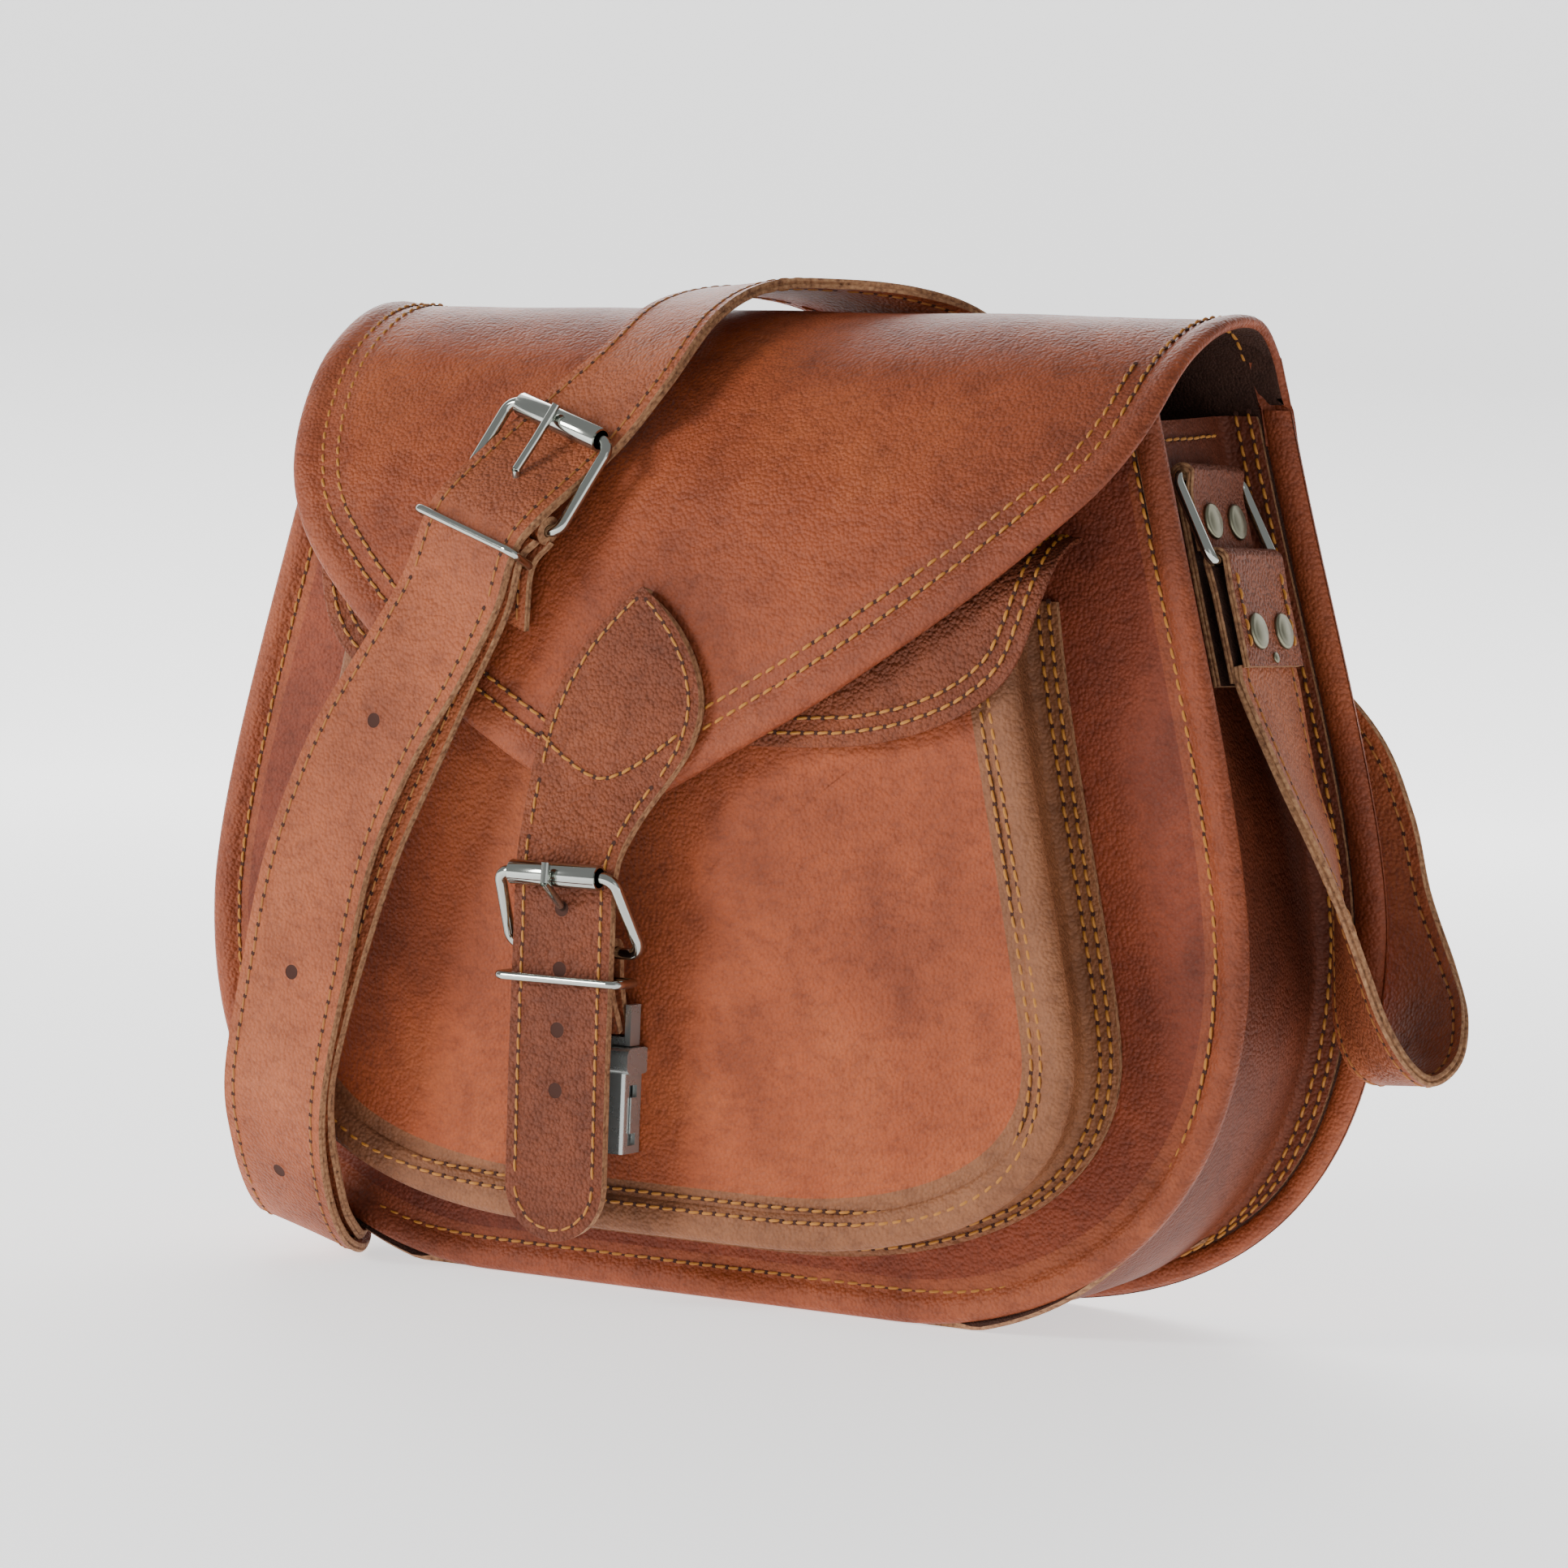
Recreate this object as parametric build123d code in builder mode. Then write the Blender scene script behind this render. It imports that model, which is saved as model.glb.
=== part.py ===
from build123d import *
import math
import os

# Leather saddle bag with a front pocket, a flap held by a buckled strap, and a shoulder strap.
# Millimetres. +X is to the right seen from the front, the front faces -Y, +Z is up.
# The origin is the centre of the flat stretch that the bag stands on.

os.makedirs("parts", exist_ok=True)

# ---- driving dimensions -------------------------------------------------------------------
FRONT_HALF = 150.0      # half the width of the front panel at its widest
BACK_HALF = 161.0       # half the width of the back panel
GUSSET_HALF = 143.0     # half the width over the gusset, which sits inside both edge rolls
POCKET_HALF = 115.2     # half the width of the front pocket
BASE_HALF = 60.0        # half the length of the flat stretch at the bottom

BACK_Y = 23.2           # rear face of the back panel
SHEET = 2.4             # back panel and flap leather
FRONT_Y = -37.5         # front face of the front panel
PANEL = 2.0             # front panel and gusset leather
POCKET_Y = -58.4        # front face of the pocket panel
ROLL = 5.0              # thickness of a turned and rolled edge
ROLL_BAND = 8.0         # width of a rolled edge

HINGE_Z = 228.25        # where the back panel bends over and becomes the flap
RIDGE_Z = 249.5         # top of the flap
POCKET_HINGE = (-38.4, 195.0)

SHOULDER_WIDTH = 32.0   # shoulder strap
CLOSURE_WIDTH = 28.0    # closure strap
STRAP = 2.6             # two plies, stitched

CLOSURE_X = -16.5       # the closure strap hangs a little left of centre
WIRE = 1.5              # radius of the buckle and ring wire


# ---- helpers -------------------------------------------------------------------------------
def save(builder, name):
    """Label a finished piece and write its STEP file."""
    builder.part.label = name
    export_step(builder.part, f"parts/{name}.step")


def bag_outline(half, top, wide_z, base, base_z, top_pull, low_pull):
    """Closed outline of a bag panel seen from the front, the same left and right.

    half is the widest half width, at height wide_z; top is the (x, z) of the upper corner;
    the flat bottom runs to x = base at height base_z. The pulls shape the two curves a side.
    """
    corner_x, corner_z = top
    with BuildLine() as line:
        for side in (1, -1):
            Bezier(
                (side * corner_x, corner_z),
                (side * (corner_x + top_pull[0]), corner_z - top_pull[1]),
                (side * half, wide_z + top_pull[2]),
                (side * half, wide_z),
            )
            Bezier(
                (side * half, wide_z),
                (side * half, wide_z - low_pull[0]),
                (side * (base + low_pull[1]), base_z),
                (side * base, base_z),
            )
        Line((-base, base_z), (base, base_z))
        Line((-corner_x, corner_z), (corner_x, corner_z))
    return line


def front_outline(inset=0.0, top_z=225.0):
    return bag_outline(
        FRONT_HALF - inset, (120.0 - inset, top_z), 91.0, BASE_HALF, inset,
        (11.0, 45.0, 30.0), (70.0, 35.0))


def back_outline(inset=0.0, top_z=HINGE_Z - 0.25):
    return bag_outline(
        BACK_HALF - inset, (129.0 - inset, top_z), 97.0, BASE_HALF, inset,
        (11.0, 45.0, 30.0), (72.0, 55.0))


def gusset_outline(inset=0.0, top_z=240.0):
    return bag_outline(
        GUSSET_HALF - inset, (109.5 - inset, top_z), 91.0, BASE_HALF, inset,
        (14.0, 60.0, 30.0), (70.0, 35.0))


def pocket_outline(inset=0.0, top_z=179.0):
    return bag_outline(
        POCKET_HALF - inset, (93.0 - inset, top_z), 68.0, 30.0, 17.5 + inset,
        (6.5, 44.0, 16.0), (36.0, 45.0))


def flap_outline(inset=0.0):
    """Outline of the flap seen from the front: a wide V whose tip is left of centre."""
    tip_x, tip_z = -9.0, 119.5 + 1.15 * inset
    lift = 0.85 * inset
    with BuildLine() as line:
        Line((tip_x, tip_z), (60.0 - 0.3 * inset, 159.0 + lift))
        Bezier(
            (60.0 - 0.3 * inset, 159.0 + lift), (96.0 - 0.6 * inset, 182.0 + lift),
            (118.0 - inset, 202.0), (122.5 - inset, 228.0))
        Line((122.5 - inset, 228.0), (126.0 - inset, 254.0))
        Line((126.0 - inset, 254.0), (-126.0 + inset, 254.0))
        Line((-126.0 + inset, 254.0), (-121.5 + inset, 228.0))
        Bezier(
            (-121.5 + inset, 228.0), (-116.0 + inset, 196.0),
            (-97.0 + 0.6 * inset, 172.0 + lift), (-62.0 + 0.3 * inset, 149.5 + lift))
        Line((-62.0 + 0.3 * inset, 149.5 + lift), (tip_x, tip_z))
    return line


def plate(outline, y_front, thickness):
    """Flat sheet with the given outline, its front face at y_front."""
    with BuildPart() as sheet:
        with BuildSketch(Plane.XZ.offset(-y_front - thickness)):
            add(outline)
            make_face()
        extrude(amount=thickness)
    return sheet


def band(outer, inner, y_front, thickness):
    """Flat ring between two outlines, its front face at y_front."""
    with BuildPart() as ring:
        with BuildSketch(Plane.XZ.offset(-y_front - thickness)):
            add(outer)
            make_face()
        extrude(amount=thickness)
        with BuildSketch(Plane.XZ.offset(-y_front - thickness)):
            add(inner)
            make_face()
        extrude(amount=thickness, mode=Mode.SUBTRACT)
    return ring


def shifted(points, distance):
    """Move each (y, z) point of a profile square to it, to its left."""
    moved = []
    last = len(points) - 1
    for i, (y, z) in enumerate(points):
        (y0, z0), (y1, z1) = points[max(i - 1, 0)], points[min(i + 1, last)]
        length = math.hypot(y1 - y0, z1 - z0)
        moved.append((y - (z1 - z0) / length * distance, z + (y1 - y0) / length * distance))
    return moved


def curved_sheet(profile, thickness, half_width):
    """Sheet bent along a (y, z) profile, straight along X; thickness is to the profile's left."""
    under = shifted(profile, thickness)
    with BuildPart() as sheet:
        with BuildSketch(Plane.YZ):
            with BuildLine():
                Spline(*profile)
                Line(profile[-1], under[-1])
                Spline(*reversed(under))
                Line(under[0], profile[0])
            make_face()
        extrude(amount=half_width, both=True)
    return sheet


def ribbon(stations, thickness):
    """Flat strap through stations, each the two edge points (near, far) of the strap."""
    with BuildPart() as strap:
        for index, (near, far) in enumerate(stations):
            middle = (Vector(*near) + Vector(*far)) * 0.5
            across = (Vector(*far) - Vector(*near)).normalized()
            ahead, behind = min(index + 1, len(stations) - 1), max(index - 1, 0)
            way = (Vector(*stations[ahead][0]) + Vector(*stations[ahead][1])
                   - Vector(*stations[behind][0]) - Vector(*stations[behind][1]))
            way = way - across * way.dot(across)
            with BuildSketch(Plane(origin=middle, x_dir=across, z_dir=way)):
                Rectangle((Vector(*far) - Vector(*near)).length, thickness)
        loft(ruled=True)
    return strap


def wire_ring(plane, width_a, width_b, height, radius, corner):
    """Closed four-sided wire loop; width_a is across its lower bar and width_b its upper bar."""
    with BuildPart() as ring:
        with BuildLine(plane) as path:
            FilletPolyline(
                (-width_a / 2, -height / 2), (width_a / 2, -height / 2),
                (width_b / 2, height / 2), (-width_b / 2, height / 2),
                radius=corner, close=True)
        start = path.edges().sort_by(SortBy.LENGTH)[-1]
        with BuildSketch(Plane(origin=start @ 0.5, z_dir=start % 0.5)):
            Circle(radius)
        sweep(path=path.wire(), transition=Transition.ROUND)
    return ring


def bar(start, end, radius):
    """Round bar between two points."""
    axis = Vector(*end) - Vector(*start)
    with BuildPart() as rod:
        with BuildSketch(Plane(origin=start, z_dir=axis)):
            Circle(radius)
        extrude(amount=axis.length)
    return rod


# ---- body of the bag -----------------------------------------------------------------------
def back_panel():
    """Back panel: flat sheet up to the bend where the flap begins."""
    save(plate(back_outline(ROLL_BAND), BACK_Y - SHEET, SHEET), "back_panel")


def back_edge_roll():
    """Turned and rolled edge round the back panel, open at the top where the flap goes on."""
    roll = band(
        back_outline(), back_outline(ROLL_BAND), BACK_Y + 1.3 - ROLL, ROLL)
    save(roll, "back_edge_roll")


def main_gusset():
    """U-shaped side and bottom strip, with its rear edge turned out and stitched to the back."""
    front, rear = FRONT_Y - 1.5 + ROLL, BACK_Y - SHEET
    with BuildPart() as strip:
        wall = BACK_Y + 1.3 - ROLL - 0.1 - front
        add(band(gusset_outline(), gusset_outline(PANEL), front, wall).part)
        with BuildSketch(Plane.XZ.offset(-rear)):
            add(back_outline(ROLL_BAND + 0.4))
            make_face()
        extrude(amount=PANEL)
        with BuildSketch(Plane.XZ.offset(-rear)):
            add(gusset_outline(PANEL))
            make_face()
        extrude(amount=rear - front, mode=Mode.SUBTRACT)
        with BuildSketch(Plane.YZ):
            with BuildLine():
                Polyline(
                    (front - 5, 222.5), (rear + 5, 226.5), (rear + 5, 260), (front - 5, 260),
                    close=True)
            make_face()
        extrude(amount=FRONT_HALF + 20, both=True, mode=Mode.SUBTRACT)
    save(strip, "main_gusset")


def front_panel():
    save(plate(front_outline(ROLL_BAND), FRONT_Y, PANEL), "front_panel")


def front_edge_roll():
    """Rolled edge down both sides and across the bottom of the front panel."""
    roll = band(front_outline(), front_outline(ROLL_BAND), FRONT_Y - 1.5, ROLL)
    save(roll, "front_edge_roll")


def pocket_panel():
    save(plate(pocket_outline(9.0), POCKET_Y, PANEL), "pocket_panel")


def pocket_edge_roll():
    """Rolled band down both sides and across the bottom of the pocket's front."""
    save(band(pocket_outline(), pocket_outline(9.0), POCKET_Y - 2.0, 4.8), "pocket_edge_roll")


def pocket_gusset():
    """U-shaped pocket side, with its rear edge turned out and stitched to the front panel."""
    front = POCKET_Y - 2.0 + 4.8
    with BuildPart() as strip:
        add(band(pocket_outline(6.0), pocket_outline(7.8), front, FRONT_Y - front).part)
        with BuildSketch(Plane.XZ.offset(-FRONT_Y)):
            add(pocket_outline(-3.6))
            make_face()
        extrude(amount=1.6)
        with BuildSketch(Plane.XZ.offset(-FRONT_Y)):
            add(pocket_outline(7.8))
            make_face()
        extrude(amount=FRONT_Y - front, mode=Mode.SUBTRACT)
    save(strip, "pocket_gusset")


# ---- pocket flap ---------------------------------------------------------------------------
POCKET_FLAP_PROFILE = [
    (-38.6, 195.0), (-47.0, 193.6), (-55.5, 189.0), (-60.5, 181.5), (-62.6, 172.0),
    (-63.0, 158.0), (-63.0, 138.0)]


def pocket_flap():
    """Shallow flap over the pocket's mouth, hinged where it is stitched to the front panel."""
    with BuildPart() as flap:
        add(curved_sheet(POCKET_FLAP_PROFILE, -1.6, 110.0).part)
        with BuildSketch(Plane.XZ):
            with BuildLine():
                for side in (1, -1):
                    Line((0, 198.0), (side * 103.0, 198.0))
                    Line((side * 103.0, 198.0), (side * 104.0, 188.0))
                    Bezier(
                        (side * 104.0, 188.0), (side * 104.0, 166.0), (side * 84.0, 141.0),
                        (side * 45.0, 141.0))
                    Line((side * 45.0, 141.0), (0, 141.0))
            make_face()
        extrude(amount=100.0, mode=Mode.INTERSECT)
    save(flap, "pocket_flap")


# ---- main flap -----------------------------------------------------------------------------
FLAP_PROFILE = [
    (BACK_Y, HINGE_Z + 0.25), (BACK_Y - 0.2, 233.0), (18.5, 242.5), (7.0, RIDGE_Z),
    (-12.0, 247.0), (-31.0, 236.5), (-45.0, 222.0), (-58.2, 204.0), (-64.6, 186.0),
    (-67.6, 170.0), (-68.7, 150.0), (-69.2, 116.0)]


def flap():
    """Flap: the back panel's sheet carried over the top and down the front."""
    with BuildPart() as sheet:
        add(curved_sheet(FLAP_PROFILE, SHEET - 0.3, 135.0).part)
        with BuildSketch(Plane.XZ.offset(-60)):
            add(flap_outline(ROLL_BAND))
            make_face()
        extrude(amount=160.0, mode=Mode.INTERSECT)
    save(sheet, "flap")


def flap_edge_roll():
    """Turned and rolled edge round the flap, a little thicker than the sheet."""
    outer_profile = shifted(FLAP_PROFILE, -0.5)
    with BuildPart() as roll:
        add(curved_sheet(outer_profile, SHEET + 0.6, 135.0).part)
        with BuildSketch(Plane.XZ.offset(-60)):
            add(flap_outline())
            make_face()
        extrude(amount=160.0, mode=Mode.INTERSECT)
        with BuildSketch(Plane.XZ.offset(-60)):
            add(flap_outline(ROLL_BAND))
            make_face()
            with Locations((0, 258)):
                Rectangle(2 * (126.0 - ROLL_BAND), 10)
        extrude(amount=160.0, mode=Mode.SUBTRACT)
    save(roll, "flap_edge_roll")


# ---- closure strap, its buckle and clip ----------------------------------------------------
CLOSURE_HINGE = (-71.6, 130.0)
CLOSURE_Y = -77.0       # front face of the hanging part of the closure strap
ROLLER = (-80.7, 107.0)
HEEL = (-69.6, 88.0)
CLOSURE_HOLES = (98.5, 83.5, 68.5, 53.5)


def closure_outline():
    """Leaf-shaped top narrowing to a parallel strap with a rounded end."""
    half = CLOSURE_WIDTH / 2
    left, right = CLOSURE_X - half, CLOSURE_X + half
    with BuildLine() as line:
        Bezier((-1.0, 178.5), (10.0, 171.0), (21.0, 156.0), (16.0, 143.0))
        Bezier((16.0, 143.0), (13.0, 131.0), (right + 0.5, 124.0), (right, 104.0))
        Line((right, 104.0), (right, 16.0 + half))
        RadiusArc((right, 16.0 + half), (left, 16.0 + half), half)
        Line((left, 16.0 + half), (left, 118.0))
        Bezier((left, 118.0), (left, 146.0), (-19.0, 165.0), (-1.0, 178.5))
    return line


def strap_leaf():
    """Upper end of the closure strap, stitched on the flap and bent to its face."""
    with BuildPart() as leaf:
        add(curved_sheet(shifted(FLAP_PROFILE, -3.4), 2.8, 60.0).part)
        with BuildSketch(Plane.XZ):
            add(closure_outline())
            make_face()
            with Locations((0, CLOSURE_HINGE[1] - 100)):
                Rectangle(200, 200, mode=Mode.SUBTRACT)
        extrude(amount=100.0, mode=Mode.INTERSECT)
    save(leaf, "strap_leaf")


def closure_strap():
    """Hanging part of the closure strap, with four punched holes, the used one stretched."""
    profile = [
        (-72.5, CLOSURE_HINGE[1] + 5.0), (-72.7, CLOSURE_HINGE[1] - 0.6), (-74.3, 121.0),
        (-76.5, 112.0), (CLOSURE_Y, 100.0), (CLOSURE_Y, 60.0), (CLOSURE_Y, 12.0)]
    with BuildPart() as strap:
        add(curved_sheet(profile, STRAP, 60.0).part)
        with BuildSketch(Plane.XZ):
            add(closure_outline())
            make_face()
            with Locations((0, CLOSURE_HINGE[1] - 0.6 + 100)):
                Rectangle(200, 200, mode=Mode.SUBTRACT)
            with Locations(*[(CLOSURE_X, z) for z in CLOSURE_HOLES[1:]]):
                Circle(1.9, mode=Mode.SUBTRACT)
            with Locations((CLOSURE_X, CLOSURE_HOLES[0] - 0.4)):
                RectangleRounded(4.2, 6.8, 1.9, mode=Mode.SUBTRACT)
        extrude(amount=100.0, mode=Mode.INTERSECT)
    save(strap, "closure_strap")


def buckle_frame(plane, half, heel_half, height, name):
    """Wire buckle frame in its own plane: roller bar at the top, heel bar at the bottom."""
    frame = wire_ring(plane, 2 * heel_half, 2 * half, height, WIRE, 3.5)
    save(frame, name)


def roller(start, end, name):
    """Sheet-metal roller on the buckle's upper bar; the tongue's tip lies over it."""
    axis = Vector(*end) - Vector(*start)
    length = axis.length
    with BuildPart() as tube:
        with BuildSketch(Plane(origin=start, z_dir=axis)):
            Circle(3.1)
            Circle(WIRE + 0.15, mode=Mode.SUBTRACT)
        extrude(amount=length)
    save(tube, name)


def tongue(plane, path_points, name):
    """Buckle tongue: an eye round the heel bar and a pin that ends on the roller.

    The plane's origin is on the heel bar, its x points outward and its y up the strap.
    """
    with BuildPart() as pin:
        with BuildSketch(plane.offset(-1.3)):
            Circle(WIRE + 1.5)
            Circle(WIRE + 0.15, mode=Mode.SUBTRACT)
        extrude(amount=2.6)
        with BuildLine(plane) as path:
            Polyline(*path_points)
        with BuildSketch(Plane(origin=path.line @ 0, z_dir=path.line % 0)):
            Circle(1.1)
        sweep(path=path.wire(), transition=Transition.ROUND)
    save(pin, name)


def closure_buckle():
    """Roller buckle that the closure strap passes through."""
    middle = Vector(CLOSURE_X, (ROLLER[0] + HEEL[0]) / 2, (ROLLER[1] + HEEL[1]) / 2)
    rise = Vector(0, ROLLER[0] - HEEL[0], ROLLER[1] - HEEL[1])
    face = Plane(origin=middle, x_dir=(1, 0, 0), z_dir=Vector(1, 0, 0).cross(rise))
    buckle_frame(face, 16.4, 19.0, rise.length, "closure_buckle_frame")
    roller(
        (CLOSURE_X - 12.6, *ROLLER), (CLOSURE_X + 12.6, *ROLLER), "closure_roller")
    side = Plane(origin=(CLOSURE_X, *HEEL), x_dir=(0, -1, 0), z_dir=(-1, 0, 0))
    tongue(
        side, [(1.6, 2.4), (3.6, 9.2), (8.4, 11.4), (16.2, 17.2), (15.8, 22.2)],
        "closure_tongue")
    loop = Plane(origin=(CLOSURE_X, -74.0, 81.0), x_dir=(1, 0, 0), z_dir=(0, 0, 1))
    keeper(loop, 35.0, 10.0, "closure_keeper")


def keeper(plane, width, depth, name):
    """Wire loop that holds the strap's end down."""
    save(wire_ring(plane, width, width, depth, 1.1, 2.6), name)


def closure_chape():
    """Short strap folded round the heel bar, its two plies running down into the clip."""
    y, z = HEEL
    with BuildPart() as chape:
        with BuildSketch(Plane.YZ.offset(-24.5)):
            with Locations((y, z)):
                Circle(WIRE + 2.2)
            with BuildLine():
                Polyline(
                    (-73.3, z), (-72.4, 80.0), (-70.0, 74.0), (-67.6, 70.0), (-66.6, 67.6),
                    (-62.0, 67.6), (-62.0, 70.0), (-64.6, 77.0), (-65.4, 81.0), (-65.9, z),
                    close=True)
            make_face()
            with BuildLine():
                Polyline(
                    (-71.2, z), (-70.6, 81.0), (-69.6, 77.5), (-67.0, 77.5), (-67.4, 81.0),
                    (-68.0, z), close=True)
            make_face(mode=Mode.SUBTRACT)
            with Locations((y, z)):
                Circle(WIRE + 0.15, mode=Mode.SUBTRACT)
        extrude(amount=19.5)
        with Locations((CLOSURE_X, y, z + 0.4)):
            Box(4.4, 14.0, 9.0, mode=Mode.SUBTRACT)
    save(chape, "closure_chape")


CLIP_X = -14.5
CLIP_LOW, CLIP_WAIST, CLIP_TOP = 38.0, 58.0, 75.0


def clip():
    """Side-squeeze clip: a housing on the pocket, and a plug whose bail holds the chape."""
    low, waist, top = CLIP_LOW, CLIP_WAIST, CLIP_TOP
    with BuildPart() as housing:
        with BuildSketch(Plane.XY.offset(low)):
            with Locations((CLIP_X, -63.0)):
                RectangleRounded(24.0, 9.2, 1.2)
        extrude(amount=waist - low)
        with BuildSketch(Plane.YZ.offset(CLIP_X - 13.5)):
            with Locations((-63.8, waist + 3.2)):
                RectangleRounded(10.4, 6.6, 2.2)
        extrude(amount=27.0)
        with Locations((CLIP_X, -63.2, (low + waist) / 2 + 5)):
            Box(21.6, 6.4, waist - low + 20, mode=Mode.SUBTRACT)
        with Locations((CLIP_X, -63.2, (low + waist) / 2 - 0.5)):
            Box(30.0, 3.6, waist - low - 5.0, mode=Mode.SUBTRACT)
    save(housing, "clip_housing")
    with BuildPart() as plug:
        with Locations((CLIP_X, -63.2, (low + waist) / 2 + 4.0)):
            Box(14.0, 2.0, waist - low + 2.0)
        with Locations((CLIP_X, -63.2, waist + 7.9)):
            Box(24.0, 4.6, 2.0)
        for x in (-11.2, 11.2):
            with Locations((CLIP_X + x, -63.2, (waist + top) / 2 + 3.4)):
                Box(1.6, 4.6, top - waist - 6.8)
    save(plug, "clip_plug")
    for side, word in ((1, "right"), (-1, "left")):
        with BuildPart() as arm:
            with Locations((CLIP_X + side * 9.4, -63.2, (low + waist) / 2)):
                Box(1.8, 3.2, waist - low - 4.0)
            with Locations((CLIP_X + side * 11.0, -63.2, (low + waist) / 2 - 0.5)):
                Box(3.0, 3.0, 9.0)
        save(arm, f"clip_arm_{word}")
    with BuildPart() as rivets:
        with Locations((CLIP_X - 6, -60.4, 43), (CLIP_X + 6, -60.4, 43)):
            Cylinder(1.9, 0.8, rotation=(90, 0, 0))
    save(rivets, "clip_rivets")


# ---- side tabs, rings and the strap ends on them -------------------------------------------
TAB_Y = -9.0
RING_TOP = (120.9, 210.4)
RING_LOW = (131.6, 190.4)
RING_OPENING = 34.5


def side_plane(side):
    """Plane on the gusset's outer face: x towards the rear on the right, y up, z outward."""
    lean = Vector(side * 0.966, 0, 0.259)
    return Plane(origin=(side * 116.0, TAB_Y, 209.6), x_dir=(0, side, 0), z_dir=lean)


def side_tab(side, name):
    """Leather tab folded over the ring's upper bar; its rear ply is stitched to the gusset."""
    x, z = side * RING_TOP[0], RING_TOP[1]
    face = side_plane(side)
    width = 29.0
    with BuildPart() as tab:
        with BuildSketch(face.offset(1.4)):
            with Locations((0, -25.0)):
                Rectangle(width, 54.0)
        extrude(amount=2.0)
        with BuildSketch(Plane(origin=(x, TAB_Y + width / 2, z), z_dir=(0, -1, 0))):
            Circle(WIRE + 2.4)
        extrude(amount=width)
        with BuildSketch(face.offset(5.2)):
            with Locations((0, -8.5)):
                Rectangle(width, 20.0)
        extrude(amount=2.0)
        with BuildSketch(face.offset(1.4)):
            with Locations((0, -14.0)):
                Rectangle(width, 8.0)
        extrude(amount=5.0)
        with BuildSketch(Plane(origin=(x, TAB_Y + width / 2, z), z_dir=(0, -1, 0))):
            Circle(WIRE + 0.15)
        extrude(amount=width, mode=Mode.SUBTRACT)
    save(tab, name)


def tab_rivets(side, name):
    """Two flat rivet caps under the ring."""
    face = side_plane(side)
    with BuildPart() as caps:
        with BuildSketch(face.offset(7.2)):
            with Locations((-7.0, -12.0), (7.0, -12.0)):
                Circle(4.4)
        extrude(amount=1.0)
    save(caps, name)


def ring(side, name):
    """Rectangular wire ring that leans outward from the tab."""
    top, low = Vector(side * RING_TOP[0], TAB_Y, RING_TOP[1]), Vector(
        side * RING_LOW[0], TAB_Y, RING_LOW[1])
    rise = top - low
    face = Plane(origin=(top + low) * 0.5, x_dir=(0, 1, 0), z_dir=Vector(0, 1, 0).cross(rise))
    width = RING_OPENING + 2 * WIRE
    save(wire_ring(face, width, width, rise.length, WIRE, 3.0), name)


STRAP_END_DROP = Vector(0.27, 0, -0.963)     # the way the strap's end hangs, on the right side


def strap_end(side, name):
    """Strap end folded round the ring's lower bar, both plies running down."""
    x, z = side * RING_LOW[0], RING_LOW[1]
    down = Vector(side * STRAP_END_DROP.X, 0, STRAP_END_DROP.Z)
    out = Vector(side * 0.963, 0, 0.27)
    across = SHOULDER_WIDTH
    face = Plane(origin=(x, TAB_Y, z), x_dir=out, z_dir=(0, -1, 0))
    if side < 0:
        face = Plane(origin=(x, TAB_Y, z), x_dir=out, z_dir=(0, 1, 0))
    with BuildPart() as fold:
        with BuildSketch(face.offset(-across / 2)):
            Circle(WIRE + 2.6)
            way = -1 if face.y_dir.dot(down) < 0 else 1
            with Locations((0, way * 14.5)):
                Rectangle(5.4, 29.0)
            Circle(WIRE + 0.15, mode=Mode.SUBTRACT)
        extrude(amount=across)
    save(fold, name)


def strap_end_rivets(side, name):
    """Two flat rivet caps near the cut end of the strap's folded ply."""
    down = Vector(side * STRAP_END_DROP.X, 0, STRAP_END_DROP.Z)
    out = Vector(side * 0.963, 0, 0.27)
    spot = Vector(side * RING_LOW[0], TAB_Y, RING_LOW[1]) + down * 22.0 + out * 2.7
    with BuildPart() as caps:
        with BuildSketch(Plane(origin=spot, x_dir=(0, 1, 0), z_dir=out)):
            with Locations((-7.5, 0), (7.5, 0)):
                Circle(4.4)
        extrude(amount=1.0)
    save(caps, name)


# ---- shoulder strap ------------------------------------------------------------------------
# Each station is the strap's near edge and far edge. From the front the near edge is the
# right-hand one. The long strap runs from the right ring, down in a hairpin beside the back
# panel, up behind the bag, over the top and down the front; its tail turns under the lower
# left corner. The short strap runs from the left ring round the same corner to the buckle.
REAR_RUN = [
    ((139.6, -25.0, 160.2), (139.6, 7.0, 160.2)),
    ((150.6, -22.5, 137.6), (144.4, 9.0, 137.6)),
    ((158.0, -20.5, 123.5), (149.2, 10.2, 123.5)),
    ((164.9, -17.5, 108.5), (151.6, 11.4, 108.5)),
    ((169.6, -14.0, 95.0), (151.8, 12.4, 94.0)),
    ((174.0, -10.5, 82.0), (152.5, 13.0, 79.0)),
    ((179.5, -7.0, 72.0), (156.0, 14.5, 68.5)),
    ((184.0, -1.5, 68.0), (160.5, 19.5, 64.5)),
    ((186.5, 8.0, 73.0), (159.5, 24.8, 68.5)),
    ((183.5, 18.0, 83.0), (155.0, 31.5, 78.0)),
    ((176.5, 27.0, 93.0), (146.5, 36.5, 87.0)),
    ((167.0, 32.0, 110.5), (136.5, 38.0, 103.0)),
    ((160.9, 33.0, 130.2), (131.0, 36.0, 119.0)),
    ((149.2, 33.0, 151.6), (123.5, 34.0, 132.5)),
    ((120.0, 31.5, 178.5), (96.5, 32.0, 156.8)),
    ((92.0, 30.0, 205.0), (69.0, 30.5, 182.8)),
    ((83.0, 29.4, 212.6), (60.4, 29.9, 190.2)),
]
SHOULDER_ROLLER = Vector(-32.9, -59.8, 218.2)
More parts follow.
